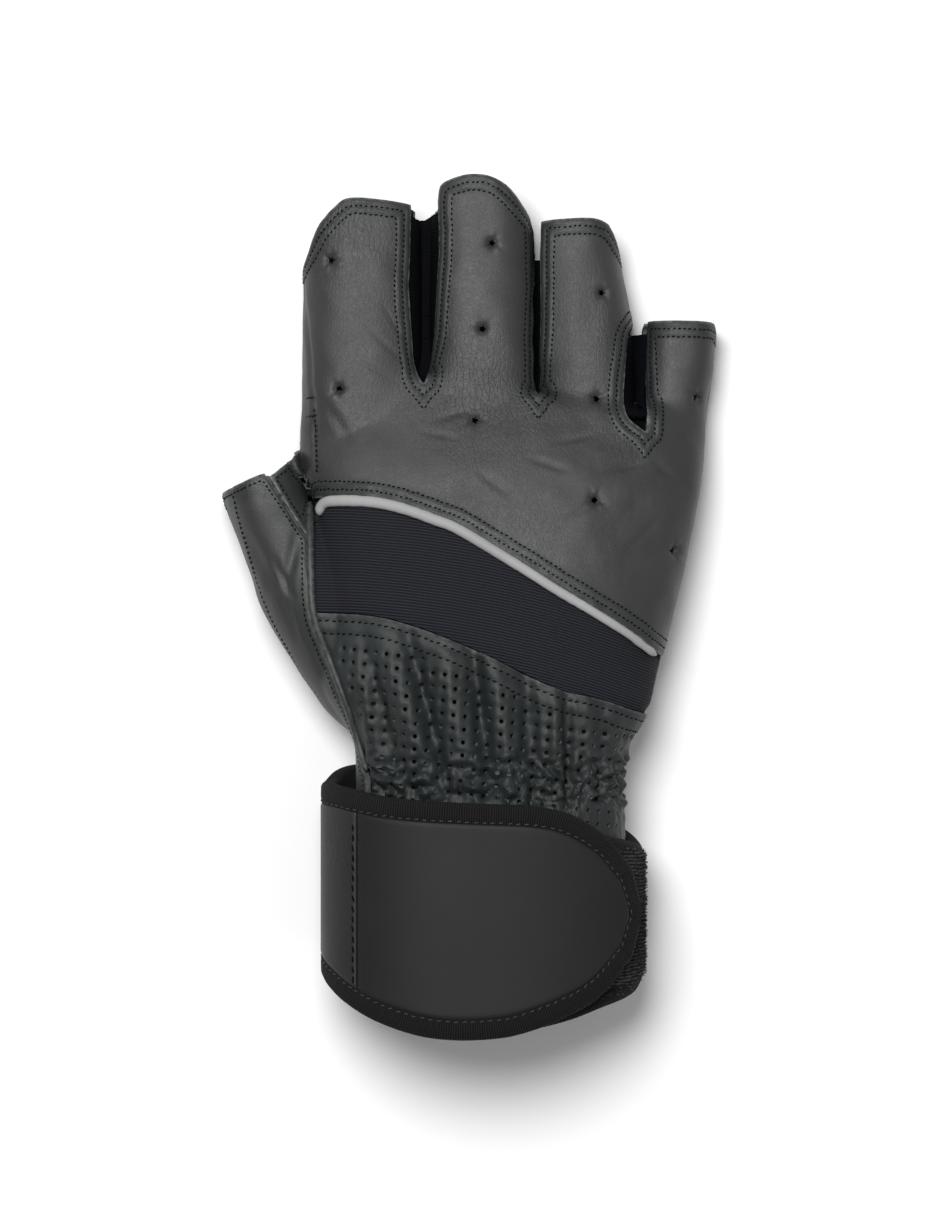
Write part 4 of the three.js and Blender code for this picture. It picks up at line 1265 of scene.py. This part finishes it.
def leather_depth(piece, roll, roll_reach, levels=ROW_LEVELS, swell=0.5, skipped=()):
    """Push that sewn leather gets: dipped edges, stitch grooves and soft waves."""
    places = columns(piece.data.vertices, "co", 3) / MM
    edge, holes = edge_loops(piece.data)
    gap = distances(places, edge)
    sewn = pointed(places, distances(places, sewn_edge(edge, skipped)))
    depth = -roll * fall(gap, roll_reach) ** 2
    depth -= 0.35 * fall(distances(places, holes), 1.0)
    for level in levels:
        depth -= 0.28 * np.exp(-((sewn - level) / 0.5) ** 2)
    depth += 0.3 * fall(sewn - max(levels), 0.9)
    depth += swell * waves(places, 17.0, 3.0) + 0.22 * waves(places, 6.5, 9.0)
    depth += 0.25 * waves(places * (1, 0.6, 1), 2.6, 5.0) * fall(sewn, 5.0)
    keep_value(piece, "edge_gap", gap)
    keep_value(piece, "seam_gap", sewn)
    return places, sewn, depth


def sewn_panel(piece, depth, sewn, levels, face, slot, node):
    """Shapes and thickens a leather panel, and returns the lines of its stitch rows."""
    push(piece, depth)
    lines = [line for level in levels for line in level_lines(piece.data, sewn, level)]
    thicken(piece, leather, [face, lining, raw_edge])
    declare(piece, slot, node)
    return lines


# %% Finger backs
# creases: from and to in millimetres on the flat, width, depth; the last two run down the
# index finger's side
BACK_CREASES = [
    (-17, 62, -26, 70, 1.2, 0.25), (-19, 57, -29, 62, 1.0, 0.22), (-16, 66, -22, 76, 1.0, 0.2),
    (-8, 47, 2, 50, 1.6, 0.3), (-12, 44, -3, 42, 1.4, 0.25), (21, 41, 30, 43, 1.5, 0.28),
    (15, 37, 24, 34, 1.6, 0.3), (34, 34, 43, 36, 1.5, 0.25), (46, 36, 54, 30, 1.8, 0.3),
    (-34, 30, -26, 32, 1.5, 0.25), (-30, 42, -37, 52, 2.2, 0.3), (2, 34, 10, 28, 2.0, 0.28),
    (24, 22, 33, 27, 1.6, 0.25), (40, 15, 47, 22, 1.6, 0.22),
    (-42.4, 82, -39.4, 52, 1.1, 0.6), (-39.5, 54, -38.3, 31, 1.1, 0.6),
]
SIDE_ROWS = [
    [(-39.0, 50.0), (-38.6, 44.0), (-38.3, 33.0)], [(-42.1, 52.2), (-40.6, 52.4), (-39.0, 52.6)],
    [(-42.1, 47.4), (-40.6, 47.7), (-39.0, 48.0)],
]

places, sewn, depth = leather_depth(back, 0.35, 1.4, skipped=[THUMB_LINE])
depth -= crease(places, BACK_CREASES) + star_dents(places)
back_lines = sewn_panel(back, depth, sewn, ROW_LEVELS, glove_leather, "leather", "back_leather")
back_lines += [laid_line(points) for points in SIDE_ROWS]
stitch_rows("finger_back_stitches", back_lines, black_thread, "leather", shortest=2.0)

# %% [markdown]
# ## Palm, thumb and the walls between the fingers
# The same treatment, panel by panel. The walls between the fingers are thin stretch fabric,
# so they get no stitch rows of their own and lie a little deeper than the leather.

# %% Palm and thumb
THUMB_LEVEL, GUSSET_LEVEL = 1.6, 1.4
THUMB_CREASES = [(-46, 5, -43, 18, 2.4, 0.7), (-44, 2, -49, 12, 1.6, 0.5),
                 (-43, -8, -46, 2, 1.6, 0.4), (-56, 18, -50, 6, 2.5, 0.35)]
THUMB_ROW = [(-59.2, 28.0), (-56.9, 18.5), (-50.5, -1.1), (-42.2, -16.1), (-35.0, -26.1)]

places, sewn, depth = leather_depth(palm, 0.35, 1.6, swell=0.35)
depth *= fall(2.0 - places[:, 2], 2.0)
palm_lines = sewn_panel(palm, depth, sewn, ROW_LEVELS, glove_leather, "leather", "palm_leather")
stitch_rows("palm_stitches", palm_lines, black_thread, "leather")

places, sewn, depth = leather_depth(thumb_back, 0.5, 1.8, levels=(THUMB_LEVEL,))
depth -= crease(places, THUMB_CREASES)
thumb_lines = sewn_panel(thumb_back, depth, sewn, (THUMB_LEVEL,), glove_leather, "leather",
                         "thumb_leather")
places, sewn, depth = leather_depth(thumb_inner, 0.4, 1.4, levels=(GUSSET_LEVEL,))
thumb_lines += sewn_panel(thumb_inner, depth - 0.25, sewn, (GUSSET_LEVEL,), glove_leather,
                          "leather", "thumb_gusset")
thumb_lines.append(laid_line(THUMB_ROW))
stitch_rows("thumb_stitches", thumb_lines, black_thread, "leather", shortest=3.0)

# %% [markdown]
# ### Fabric between the fingers
# Seen from above, the slits show black fabric lying well below the leather. So each wall gets
# a folded strip along its slit, which hangs from the heights of the leather on both sides. The
# walls take a much darker copy of the stretch fabric: its own black with painted shade of the
# deep slits.

# %% Finger walls
# where the folded fabric ends: a place along, and how much further its right side reaches
FOLD_END = [(97.6, 3.2), (87.6, 0.0), (68.6, 0.5)]
FOLD_BELOW, FOLD_RIM, FOLD_ROWS, FOLD_COLUMNS = 2.5, 1.2, 30, 13
FOLD_DEEP, FOLD_DEEPER, FOLD_SAG, FOLD_EASE = 1.8, 4.0, 1.4, 14.0


def fabric_fold(number):
    """The strip of fabric that is folded down between two fingers."""
    (x, y), (end, right_reach) = SLIT_POINTS[number], FOLD_END[number]
    left, right = (max(abs(a) for b, a in side) for side in SLIT_EDGES[number])
    rims = (x - left - FOLD_RIM, x + right + FOLD_RIM)
    bm = bmesh.new()
    rows = []
    for share in np.linspace(0, 1, FOLD_ROWS):
        row = []
        for turn in np.linspace(-1, 1, FOLD_COLUMNS):
            v = y - FOLD_BELOW + share * (end + max(0, turn) * right_reach - y + FOLD_BELOW)
            rim_places = [on_last(rim, v)[0] for rim in rims]
            heights = [place.z / MM for place in rim_places if place is not None]
            rim_height = np.interp(turn, [-1, 1], [heights[0], heights[-1]])
            deep = (FOLD_DEEP + FOLD_DEEPER * (1 - fall(v - y + FOLD_BELOW, FOLD_EASE))
                    + FOLD_SAG * (1 - turn * turn))
            middle = x + (right - left) / 2 * min(1, 3 * share)
            half = 1.2 + (0.5 * (left + right) - 0.2) * min(1, 4 * share)
            row.append(bm.verts.new(Vector((middle + turn * half, v, rim_height - deep)) * MM))
        rows.append(row)
    for lower_row, upper_row in zip(rows[:-1], rows[1:]):
        for step in range(len(lower_row) - 1):
            bm.faces.new([lower_row[step], lower_row[step + 1], upper_row[step + 1],
                          upper_row[step]])
    bmesh.ops.recalc_face_normals(bm, faces=bm.faces)
    if sum(face.normal.z for face in bm.faces) < 0:
        bmesh.ops.reverse_faces(bm, faces=bm.faces)
    return bm


def fold_in(wall, number):
    """The wall without what lies over the fold, and with the fold."""
    bm = fabric_fold(number)
    fold_count = len(bm.faces)
    bm.from_mesh(wall.data)
    bm.faces.index_update()
    limit = (max(along(SLITS[number][1]), SLIT_POINTS[number][1] - 2) + web_height) * MM
    over = [face for face in bm.faces if face.material_index == SKIN and face.normal.z > 0.5
            and face.calc_center_median().y < limit
            and face.calc_center_median().z > 0.45 * palm_depth * MM
            and face.index >= fold_count]
    bmesh.ops.delete(bm, geom=over, context="FACES")
    bm.to_mesh(wall.data)
    bm.free()


for number, (wall, (name, web)) in enumerate(zip(walls, SLITS)):
    fold_in(wall, number)
    places = columns(wall.data.vertices, "co", 3) / MM
    gap = distances(places, edge_loops(wall.data)[0])
    push(wall, -0.8 - 0.9 * fall(gap, 2.2) + 0.15 * waves(places, 5.0, 2.0))
    keep_value(wall, "edge_gap", np.full(len(places), 3.0))
    # The walls wear the darker fabric copy, whose colour holds painted shade of the slits.
    thicken(wall, side_wall, [slit_fabric_painted_shade, lining, slit_fabric_painted_shade])
    declare(wall, "stretch_fabric", "fourchette_" + name)

# %% [markdown]
# ## Stretch panel and gathered wrist
# The stretch panel is taut: only its edges dip. Below it the leather is drawn together by
# the wrist's elastic, so its folds grow from nothing at the seam to full depth at the strap.

# %% Stretch panel
places = columns(stretch.data.vertices, "co", 3) / MM
gap = distances(places, edge_loops(stretch.data)[0])
push(stretch, -0.5 - 0.5 * fall(gap, 3.0) + 0.5 * waves(places, 16.0, 6.0))
keep_value(stretch, "edge_gap", gap)
thicken(stretch, fabric, [stretch_fabric, lining, stretch_fabric])
declare(stretch, "stretch_fabric", "stretch_panel")

# %% Gathered wrist
WRIST_LEVELS = (1.9, 5.0)
CRUMPLED, COVERED = -33.0, -47.0
# from and to, in millimetres on the flat, then width and height
WRIST_RIDGES = [
    (-22, -6, -9, -46, 5.6, 2.2), (-7, -8, 2, -56, 5.4, 2.4), (5, -8, 12.5, -60, 5.0, 2.2),
    (20.6, -18, 21.8, -62, 2.8, 1.6), (29, -22, 29, -60, 3.0, 0.8), (36, -24, 35, -58, 3.0, 0.8),
    (-28, -14, -22, -44, 2.6, 1.0),
]
WRIST_VALLEYS = [
    (-16, -4, -5, -50, 3.0, 2.2), (0.5, -8, 6.5, -58, 3.0, 2.4), (13.5, -12, 17, -62, 3.4, 2.4),
    (24.0, -20, 24.8, -62, 2.2, 1.6), (32.5, -24, 32, -58, 2.2, 0.9),
    (-26, -8, -17, -46, 2.8, 1.2),
]

def gathered(piece):
    """Folds and crumples of the wrist's leather, with the distance to its seam."""
    places, sewn, depth = leather_depth(piece, 0.3, 1.4, WRIST_LEVELS, 0.3, [THUMB_LINE])
    low = 1 - fall(CRUMPLED - places[:, 1], 7.0)
    covered = fall(COVERED - places[:, 1], 4.0)
    depth += crease(places, WRIST_RIDGES) - crease(places, WRIST_VALLEYS)
    slanted = places * (1.0, 0.4, 1.0) + (0, 0, 0.3) * places[:, [1, 1, 1]]
    depth += 0.1 * waves(slanted, 2.4, 21.0) * (1 - fall(8 - places[:, 1], 40.0))
    bumps = np.abs(waves(places, 3.4, 31.0)) * 2.2 - 0.7 + 0.45 * waves(places, 1.9, 47.0)
    return (depth * (1 - 0.3 * low) + 1.9 * low * bumps) * np.clip(covered, 0.15, 1), sewn


depth, sewn = gathered(wrist)
wrist_lines = sewn_panel(wrist, depth, sewn, WRIST_LEVELS, punched_leather,
                         "perforated_leather", "wrist_leather")
push(wrist_inside, np.minimum(gathered(wrist_inside)[0] - leather - 0.15, -leather - 0.2))
thicken(wrist_inside, 0.25, [lining, lining, lining])
declare(wrist_inside, "perforated_leather")
stitch_rows("wrist_stitches", wrist_lines, black_thread, "perforated_leather", length=1.2,
            pitch=1.8)

# %% [markdown]
# ## Piping and welt
# Both are cords in a folded strip, so a round section is swept along the seam. The line comes
# from the seam's table and its height from a ray dropped on the last.

# %% Sweeping a section along a seam
HIGHEST_STEP = 1.6


def finish(piece, material, slot, node, edge=3.0, sharp=None):
    """One material and smooth faces; the piece rides on the imported body in place of its node."""
    piece.data.materials.append(material)
    keep_value(piece, "edge_gap", np.full(len(piece.data.vertices), edge))
    for polygon in piece.data.polygons:
        polygon.use_smooth = True
    if sharp:
        piece.data.set_sharp_from_angle(angle=math.radians(sharp))
    declare(piece, slot, node)


def sweep(name, path, normals, section):
    """Tube along a path, whose section has places sideways and upwards in millimetres."""
    rings = []
    for index, (spot, up) in enumerate(zip(path, normals)):
        way = (path[min(index + 1, len(path) - 1)] - path[max(index - 1, 0)]).normalized()
        side = way.cross(up).normalized()
        share = index / (len(path) - 1)
        rings.append([spot + side * a * MM + up * b * MM for a, b in section(share)])
    return loft(name, rings)


def surface_path(line, sink):
    """Places and normals under a flat line, sunk a little into the leather."""
    path, normals = [], []
    for x, y in line:
        place, normal = on_last(x, y)
        fits = place is not None and normal.z > 0.2
        if fits and (not path or abs(place.z / MM - height) < HIGHEST_STEP):
            height = place.z / MM
            path.append(place - normal * sink * MM)
            normals.append(normal)
    return path, normals


# %% Piping
PIPING_RADIUS, PIPING_SINK, PIPING_SIDES = 1.42, 0.2, 14
PIPING_END = [(0.043, 0.694), (0.045, 0.715), (0.06, 0.731)]
ends = [(across(a), along(b)) for a, b in PIPING_END]
run = seam(PIPING_LINE)
run = run[(run[:, 0] > across(0.09)) & (run[:, 0] < across(0.895))]
piping_path, piping_normals = surface_path(smooth_line([*ends, *run[::4]], 0.7),
                                            PIPING_SINK)


def piping_section(share):
    turn = np.linspace(0, 2 * np.pi, PIPING_SIDES, endpoint=False)
    wobble = 0.12 * noise.noise(Vector((share * 40, 3, 0))) + 0.06 * noise.noise(
        Vector((share * 130, 8, 0)))
    ends_in = min(1.0, 0.35 + 60 * min(share, 1 - share))
    size = (PIPING_RADIUS - 0.45 * share ** 2 + wobble) * ends_in
    return [(size * math.cos(a), 0.8 * size * math.sin(a) + 0.2) for a in turn]


piping = sweep("piping", piping_path, piping_normals, piping_section)
finish(piping, piping_grey, "grey_piping", "knuckle_piping")
print("piping", len(piping_path), "sections")

# %% Welt
welt_line = seam(THUMB_LINE)
welt_line = welt_line[(welt_line[:, 1] < along(0.76)) & (welt_line[:, 1] > along(-0.04))]
welt_path, welt_normals = surface_path(smooth_line(welt_line[::-3], 0.8), 0.1)


def welt_section(share):
    turn = np.linspace(0, 2 * np.pi, 12, endpoint=False)
    ends_in = min(1.0, 0.4 + 40 * min(share, 1 - share))
    return [(1.0 * ends_in * math.cos(a), 0.8 * ends_in * math.sin(a)) for a in turn]


welt = sweep("thumb_strip", welt_path, welt_normals, welt_section)
finish(welt, glove_leather, "leather", "thumb_welt", edge=0.55)
print("welt", len(welt_path), "sections")

# %% [markdown]
# ## The wrist wrap
# The wrap is cut flat and wound round the wrist, so it is drawn flat here too: one coordinate
# runs along the band, the other across it. One function lays any flat place on the wound
# band at a height above it, and every piece of the wrap uses that function.

# %% Winding a flat place round the wrist
# angle about the wrist in degrees, lift in strap lifts, top and bottom in strap heights
WRAP = np.array([
    (150, 0, 0.4, -0.3), (120, 0, 0.4, -0.385), (90, 0, 0.4, -0.445), (65, 0, 0.39, -0.4),
    (45, 0, 0.367, -0.345), (20, 0, 0.333, -0.295), (0, 0, 0.317, -0.235),
    (-30, 0, 0.383, -0.217), (-60, 0, 0.467, -0.2), (-90, 0, 0.55, -0.183),
    (-120, 0, 0.608, -0.175), (-150, 0.15, 0.642, -0.192), (-165, 0.4, 0.625, -0.2),
    (-180, 0.7, 0.583, -0.205), (-190, 0.9, 0.577, -0.225), (-200, 1.0, 0.57, -0.265),
    (-210, 1.0, 0.56, -0.315), (-235, 1.0, 0.523, -0.415), (-255, 1.0, 0.507, -0.463),
    (-270, 1.0, 0.498, -0.463), (-285, 1.0, 0.485, -0.415), (-295, 1.0, 0.46, -0.37),
    (-305, 1.0, 0.41, -0.32), (-315, 1.0, 0.34, -0.245), (-322.5, 1.0, 0.26, -0.165),
    (-327.5, 1.0, 0.2, -0.11), (-330, 1.0, 0.13, -0.04),
])
LIFT, TOP, BOTTOM = 1, 2, 3
strap_height, strap_lift = 60.0, 4.8
strap_core, strap_skin, tape_width, tape_wall, clearance = 2.0, 1.0, 4.2, 0.8, 0.3
tape_reach = clearance + tape_wall
skin_floor = strap_core + clearance
skin_inset = tape_reach + tape_width + clearance
strap_line = wrist_line - 40.0
half_width = (0.787 - 0.138) * palm_width / 2 + tape_reach + 0.9
strap_centre = across((0.787 + 0.138) / 2) - 0.2
strap_floor = strap_core + tape_reach
strap_roof = 1.06 * palm_depth + 1.3 + tape_reach + clearance
half_depth = (strap_roof - strap_floor + rest_flat) / 2
strap_middle = strap_roof - half_depth


def wrap_value(angle, column):
    """Smooth value of a column of the wrap's table at an angle."""
    knots, values = -WRAP[:, 0], WRAP[:, column]
    slopes = np.gradient(values, knots)
    at = np.clip(-angle, knots[0], knots[-1])
    high = np.clip(np.searchsorted(knots, at), 1, len(knots) - 1)
    span = knots[high] - knots[high - 1]
    share = (at - knots[high - 1]) / span
    square, cube = share ** 2, share ** 3
    return ((2 * cube - 3 * square + 1) * values[high - 1] + (cube - 2 * square + share) * span
            * slopes[high - 1] + (3 * square - 2 * cube) * values[high]
            + (cube - square) * span * slopes[high])


def oval(angle):
    turn = math.radians(angle)
    side = math.copysign(abs(math.cos(turn)) ** 0.8, math.cos(turn))
    rise = math.copysign(abs(math.sin(turn)) ** 0.8, math.sin(turn))
    return Vector((strap_centre + half_width * side, 0,
                   max(strap_middle + half_depth * rise, strap_floor)))


def oval_normal(angle):
    step = oval(angle + 3) - oval(angle - 3)
    return Vector((step.z, 0, -step.x)).normalized()


def wound(angle, height, y):
    lift = min(max(wrap_value(angle, LIFT), 0), 1) * strap_lift
    place = oval(angle) + oval_normal(angle) * (lift + height)
    return Vector((place.x, y, max(place.z, 0))) * MM


winding = np.arange(150, -332, -1.0)
reaches = np.array([list(wound(angle, strap_core, 0)) for angle in winding]) / MM
winding_length = travelled(reaches)
print("wrap", round(winding_length[-1]), "mm long")


def angle_at(length):
    return float(np.interp(length, winding_length, winding))


def length_at(angle):
    return float(np.interp(-angle, -winding, winding_length))


def on_wrap(length, y, height):
    return wound(angle_at(length), height, y)


# %% [markdown]
# ### Outline of the wrap, moved in for each piece
# The band, its tape and its covers share one outline. Moving an outline in by a fixed margin
# keeps each piece the same distance from the edge, also round the flap's end.

# %% Flat outline
def edge_line(column):
    angles = np.arange(150, -330.01, -2.0)
    return np.array([(length_at(angle), strap_line + strap_height * wrap_value(angle, column))
                     for angle in angles])


flat_top, flat_bottom = edge_line(TOP), edge_line(BOTTOM)
tip_x, tip_top = flat_top[-1]
tip_bottom = flat_bottom[-1][1]
tip = [(tip_x + 1.6 * math.sin(math.pi * share), tip_top + (tip_bottom - tip_top) * share)
       for share in (0.25, 0.5, 0.75)]
flat_outline = smooth_line(np.vstack([flat_top[::2], tip, flat_bottom[::-2]]), 1.0)


def moved_in(margin):
    """The outline moved towards the band's middle, without the loops that this makes."""
    line = moved_sideways(flat_outline, -margin)
    return line[distances(grounded(line), grounded(flat_outline)) > margin - 0.15]


def span_at(line, length):
    """Highest and lowest place of an outline at a length along the band."""
    heights = []
    for (x1, y1), (x2, y2) in zip(line[:-1], line[1:]):
        if (x1 <= length) != (x2 <= length):
            heights.append(y1 + (length - x1) / (x2 - x1) * (y2 - y1))
    return (max(heights), min(heights)) if len(heights) > 1 else None


def cover(name, start, stop, margin, inner, outer, rounding=0.5):
    """A flat piece of the wrap between two lengths, with rolled edges, wound into place."""
    line = moved_in(margin)
    stop = min(stop, line[:, 0].max() - 0.15)
    lengths = np.concatenate([np.arange(start, stop - 4, 1.2), stop - np.array(
        [4, 3, 2.2, 1.5, 0.9, 0.5, 0.2, 0.0])])
    lengths = lengths[lengths >= start]
    rings = []
    for length in lengths:
        span = span_at(line, length)
        if span is None:
            continue
        top, bottom = span
        share = np.linspace(0, 1, 26)
        share = 0.5 - 0.5 * np.cos(np.pi * share) * np.abs(np.cos(np.pi * share)) ** -0.3
        share = np.clip(share, 0, 1)
        gap = np.minimum(share, 1 - share) * (top - bottom)
        end_gap = min(gap.max(), length - start + 0.01, stop - length + 0.01)
        roll = rounding * np.clip(1 - np.minimum(gap, end_gap) / (2 * rounding), 0, 1) ** 2
        y = bottom + (top - bottom) * share
        ring = [on_wrap(length, b, outer - r) for b, r in zip(y, roll)]
        ring += [on_wrap(length, b, inner) for b in y[::-1]]
        rings.append(ring)
    return loft(name, rings)


# %% [markdown]
# ### Band, patch, panel and pile
# The leather patch and the matte panel meet at a seam on the flap. The pile lies on the band's
# lower turn, where the flap's hooks hold it.

# %% Band and covers
patch_start, patch_stop = length_at(-160), length_at(-220)
cover_floor, cover_top = skin_floor - 0.3, skin_floor + strap_skin
tip_length = flat_outline[:, 0].max()
band = cover("wrap_band", 0.0, tip_length - tape_reach, tape_reach, 0.0, strap_core)
patch = cover("wrap_leather", patch_start, patch_stop - 0.2, skin_inset - 0.6, cover_floor,
              cover_top)
panel = cover("wrap_panel", patch_stop + 0.2, tip_length, skin_inset - 0.6, cover_floor,
              cover_top, rounding=0.4)
pile = cover("wrap_pile", length_at(80), length_at(-20), skin_inset - 2.0, cover_floor,
             cover_top)


# %% [markdown]
# ### The pile's loops
# Loop pile is a fur of tiny bent threads. Each one here is a three-sided spike with one knee,
# only a few faces, and a seeded random generator scatters them the same way at every run.

# %% Loops of the pile
LOOPS = 3600


def pile_tufts():
    """Short curled loops that stand up from the pile, thickest at the torn right edge."""
    chance = random.Random("loops")
    line, bm = moved_in(tape_reach), bmesh.new()
    for number in range(LOOPS):
        length = length_at(chance.triangular(-34, 60, 8))
        top, bottom = span_at(line, length)
        y = chance.uniform(bottom + 1.2, top - 1.2)
        foot = on_wrap(length, y, cover_top - 0.4)
        up = oval_normal(angle_at(length))
        lean = Vector([chance.uniform(-1, 1) for axis in range(3)]) * 0.75
        long = chance.uniform(0.7, 1.7) * MM
        wide = Vector((lean.y, -lean.x, lean.z * 0.5)).normalized() * 0.17 * MM
        knee = foot + (up + 0.4 * lean).normalized() * long * 0.6
        tip = knee + (0.35 * up + lean).normalized() * long * 0.5
        deep = up.cross(wide).normalized() * 0.17 * MM
        rings = [[bm.verts.new(at + size * (wide * a + deep * b)) for a, b in
                  ((1, 0), (-0.5, 0.9), (-0.5, -0.9))] for at, size in
                 ((foot, 1.0), (knee, 0.9), (tip, 0.5))]
        for one, two in zip(rings[:-1], rings[1:]):
            for step in range(3):
                bm.faces.new([one[step], one[step - 1], two[step - 1], two[step]])
        bm.faces.new(rings[-1])
        bm.faces.new(rings[0][::-1])
    bmesh.ops.recalc_face_normals(bm, faces=bm.faces)
    return new_object("pile_tufts", bm)


tufts = pile_tufts()
tufts.data.materials.append(pile_black)
declare(tufts, "loop_pile")
print(tufts.name, LOOPS, "loops")
for piece, material, slot, node in (
    (band, webbing, "elastic_webbing", "wrist_strap"),
    (patch, wrap_leather_finish, "strap_leather", "strap_leather_patch"),
    (panel, panel_finish, "matte_panel", "strap_panel"),
    (pile, pile_black, "loop_pile", "strap_loop_pile"),
):
    finish(piece, material, slot, node, sharp=60)

# %% [markdown]
# ### Binding tape
# The tape folds over the band's edge, so its section is a C that is swept along the outline.
# Its UV map runs along the tape, which lets the ribs turn with it round the flap.

# %% Binding tape
inside, outside = strap_core + clearance, strap_core + clearance + tape_wall
TAPE_SECTION = [
    (-tape_width, outside - 0.3), (-tape_width + 0.25, outside),
    (-tape_width * 0.5, outside + 0.15), (0.0, outside + 0.1), (0.75, outside - 0.3),
    (tape_reach, outside - 1.0),
    (tape_reach, 0.2), (0.75, -tape_reach + 0.4), (0.0, -tape_reach + 0.1),
    (-tape_width, -tape_reach + 0.1), (-tape_width, -clearance), (clearance, -clearance),
    (clearance, inside), (-tape_width, inside),
]
tape_line = moved_in(tape_reach)
way = np.gradient(tape_line, axis=0)
way /= np.linalg.norm(way, axis=1)[:, None]
outward = np.column_stack([way[:, 1], -way[:, 0]]) * -1
tape_rings = [[on_wrap(x + a * ox, y + a * oy, b) for a, b in TAPE_SECTION]
              for (x, y), (ox, oy) in zip(tape_line, outward)]
tape_piece = loft("wrap_tape", tape_rings)


def tape_map(piece, line, ring_size):
    """UV map in metres: along the tape, then round its section."""
    reach = travelled(line) * MM
    layer = piece.data.uv_layers.new(name="tape")
    for loop in piece.data.loops:
        row, step = divmod(loop.vertex_index, ring_size)
        layer.data[loop.index].uv = (reach[row], step * MM)


tape_map(tape_piece, tape_line, len(TAPE_SECTION))
finish(tape_piece, tape, "binding_tape", "strap_binding", sharp=60)


# %% [markdown]
# ### Stitches on the wrap
# One grey row holds the tape's inner edge, where it shows, and one black row holds the seam
# between patch and panel.

# %% Stitches on the wrap
SEAM_STITCHES = patch_stop - 0.9


def wrap_line(line, height):
    """Places and normals along a flat line laid on the wrap."""
    return np.array([[*on_wrap(x, y, height), *oval_normal(angle_at(x))] for x, y in line])


top_line = moved_in(tape_reach + tape_width - 0.7)
shown = top_line[top_line[:, 0] > length_at(-60)]
stitch_rows("wrap_tape_stitches", [wrap_line(shown, outside + 0.1)], grey_thread,
            "binding_tape", length=1.3, pitch=2.1, width=0.36)
seam_top, seam_bottom = span_at(moved_in(skin_inset), SEAM_STITCHES)
seam_line = np.array([(SEAM_STITCHES, seam_bottom + (seam_top - seam_bottom) * share)
                      for share in np.linspace(0, 1, 60)])
stitch_rows("wrap_seam_stitches", [wrap_line(seam_line, cover_top)],
            black_thread, "strap_leather", length=1.9, pitch=2.5, width=0.6)

# %% [markdown]
# ## Floor, light and camera
# The glove lies on a white sweep in soft light, and the camera looks straight down, as in the
# photograph. The long lens keeps the fingers' sides out of sight.

# %% Floor and world
WORLD_LIGHT = 0.27
bm = bmesh.new()
bmesh.ops.create_grid(bm, x_segments=1, y_segments=1, size=3.0)
floor = new_object("floor", bm)
floor_paint, tree, shader = start_material("floor_paint", Base_Color=(0.9, 0.9, 0.9, 1),
                                           Roughness=0.9, Specular_IOR_Level=0.1)
floor.data.materials.append(floor_paint)
floor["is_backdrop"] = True

bpy.context.scene.view_settings.view_transform = "Standard"
world = bpy.data.worlds.new("studio")
world.use_nodes = True
background = world.node_tree.nodes["Background"]
background.inputs["Color"].default_value = (1, 1, 1, 1)
background.inputs["Strength"].default_value = WORLD_LIGHT
bpy.context.scene.world = world
print("floor and world light", WORLD_LIGHT)


# %% Lamps and camera
AIM_HEIGHT, CAMERA_HEIGHT = 0.02, 1.4
PHOTO_HEIGHT, MM_PER_PIXEL = 1215, 0.25


def soft_light(name, place, size, power):
    lamp = bpy.data.lights.new(name, "AREA")
    lamp.shape, lamp.size, lamp.energy = "DISK", size, power
    holder = bpy.data.objects.new(name, lamp)
    holder.location = place
    holder.rotation_mode = "QUATERNION"
    holder.rotation_quaternion = (Vector((0, 0, AIM_HEIGHT)) - Vector(place)).to_track_quat(
        "-Z", "Y")
    bpy.context.scene.collection.objects.link(holder)


soft_light("key", (-0.16, 0.3, 1.0), 0.5, 11.5)
soft_light("fill", (0.7, -0.3, 0.8), 0.8, 1.5)

frame_height = PHOTO_HEIGHT * MM_PER_PIXEL * MM
camera = bpy.data.cameras.new("camera")
camera.sensor_width = 36.0
camera.lens = camera.sensor_width / 2 * (CAMERA_HEIGHT - AIM_HEIGHT) / (frame_height / 2)
camera.clip_end = 10.0
viewer = bpy.data.objects.new("camera", camera)
viewer.location = (0, 0, CAMERA_HEIGHT)
bpy.context.scene.collection.objects.link(viewer)
bpy.context.scene.camera = viewer
print("lens", round(camera.lens), "mm")

# %% [markdown]
# ## Finish
# The last and the cutting tools are dropped, and the face count of each shown piece is printed.

# %% Finish
drop(last, *[thing for thing in bpy.data.objects if thing.name.split(".")[0] == "tool"])
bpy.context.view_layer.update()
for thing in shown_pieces():
    print(thing.name, len(thing.data.polygons), "faces")
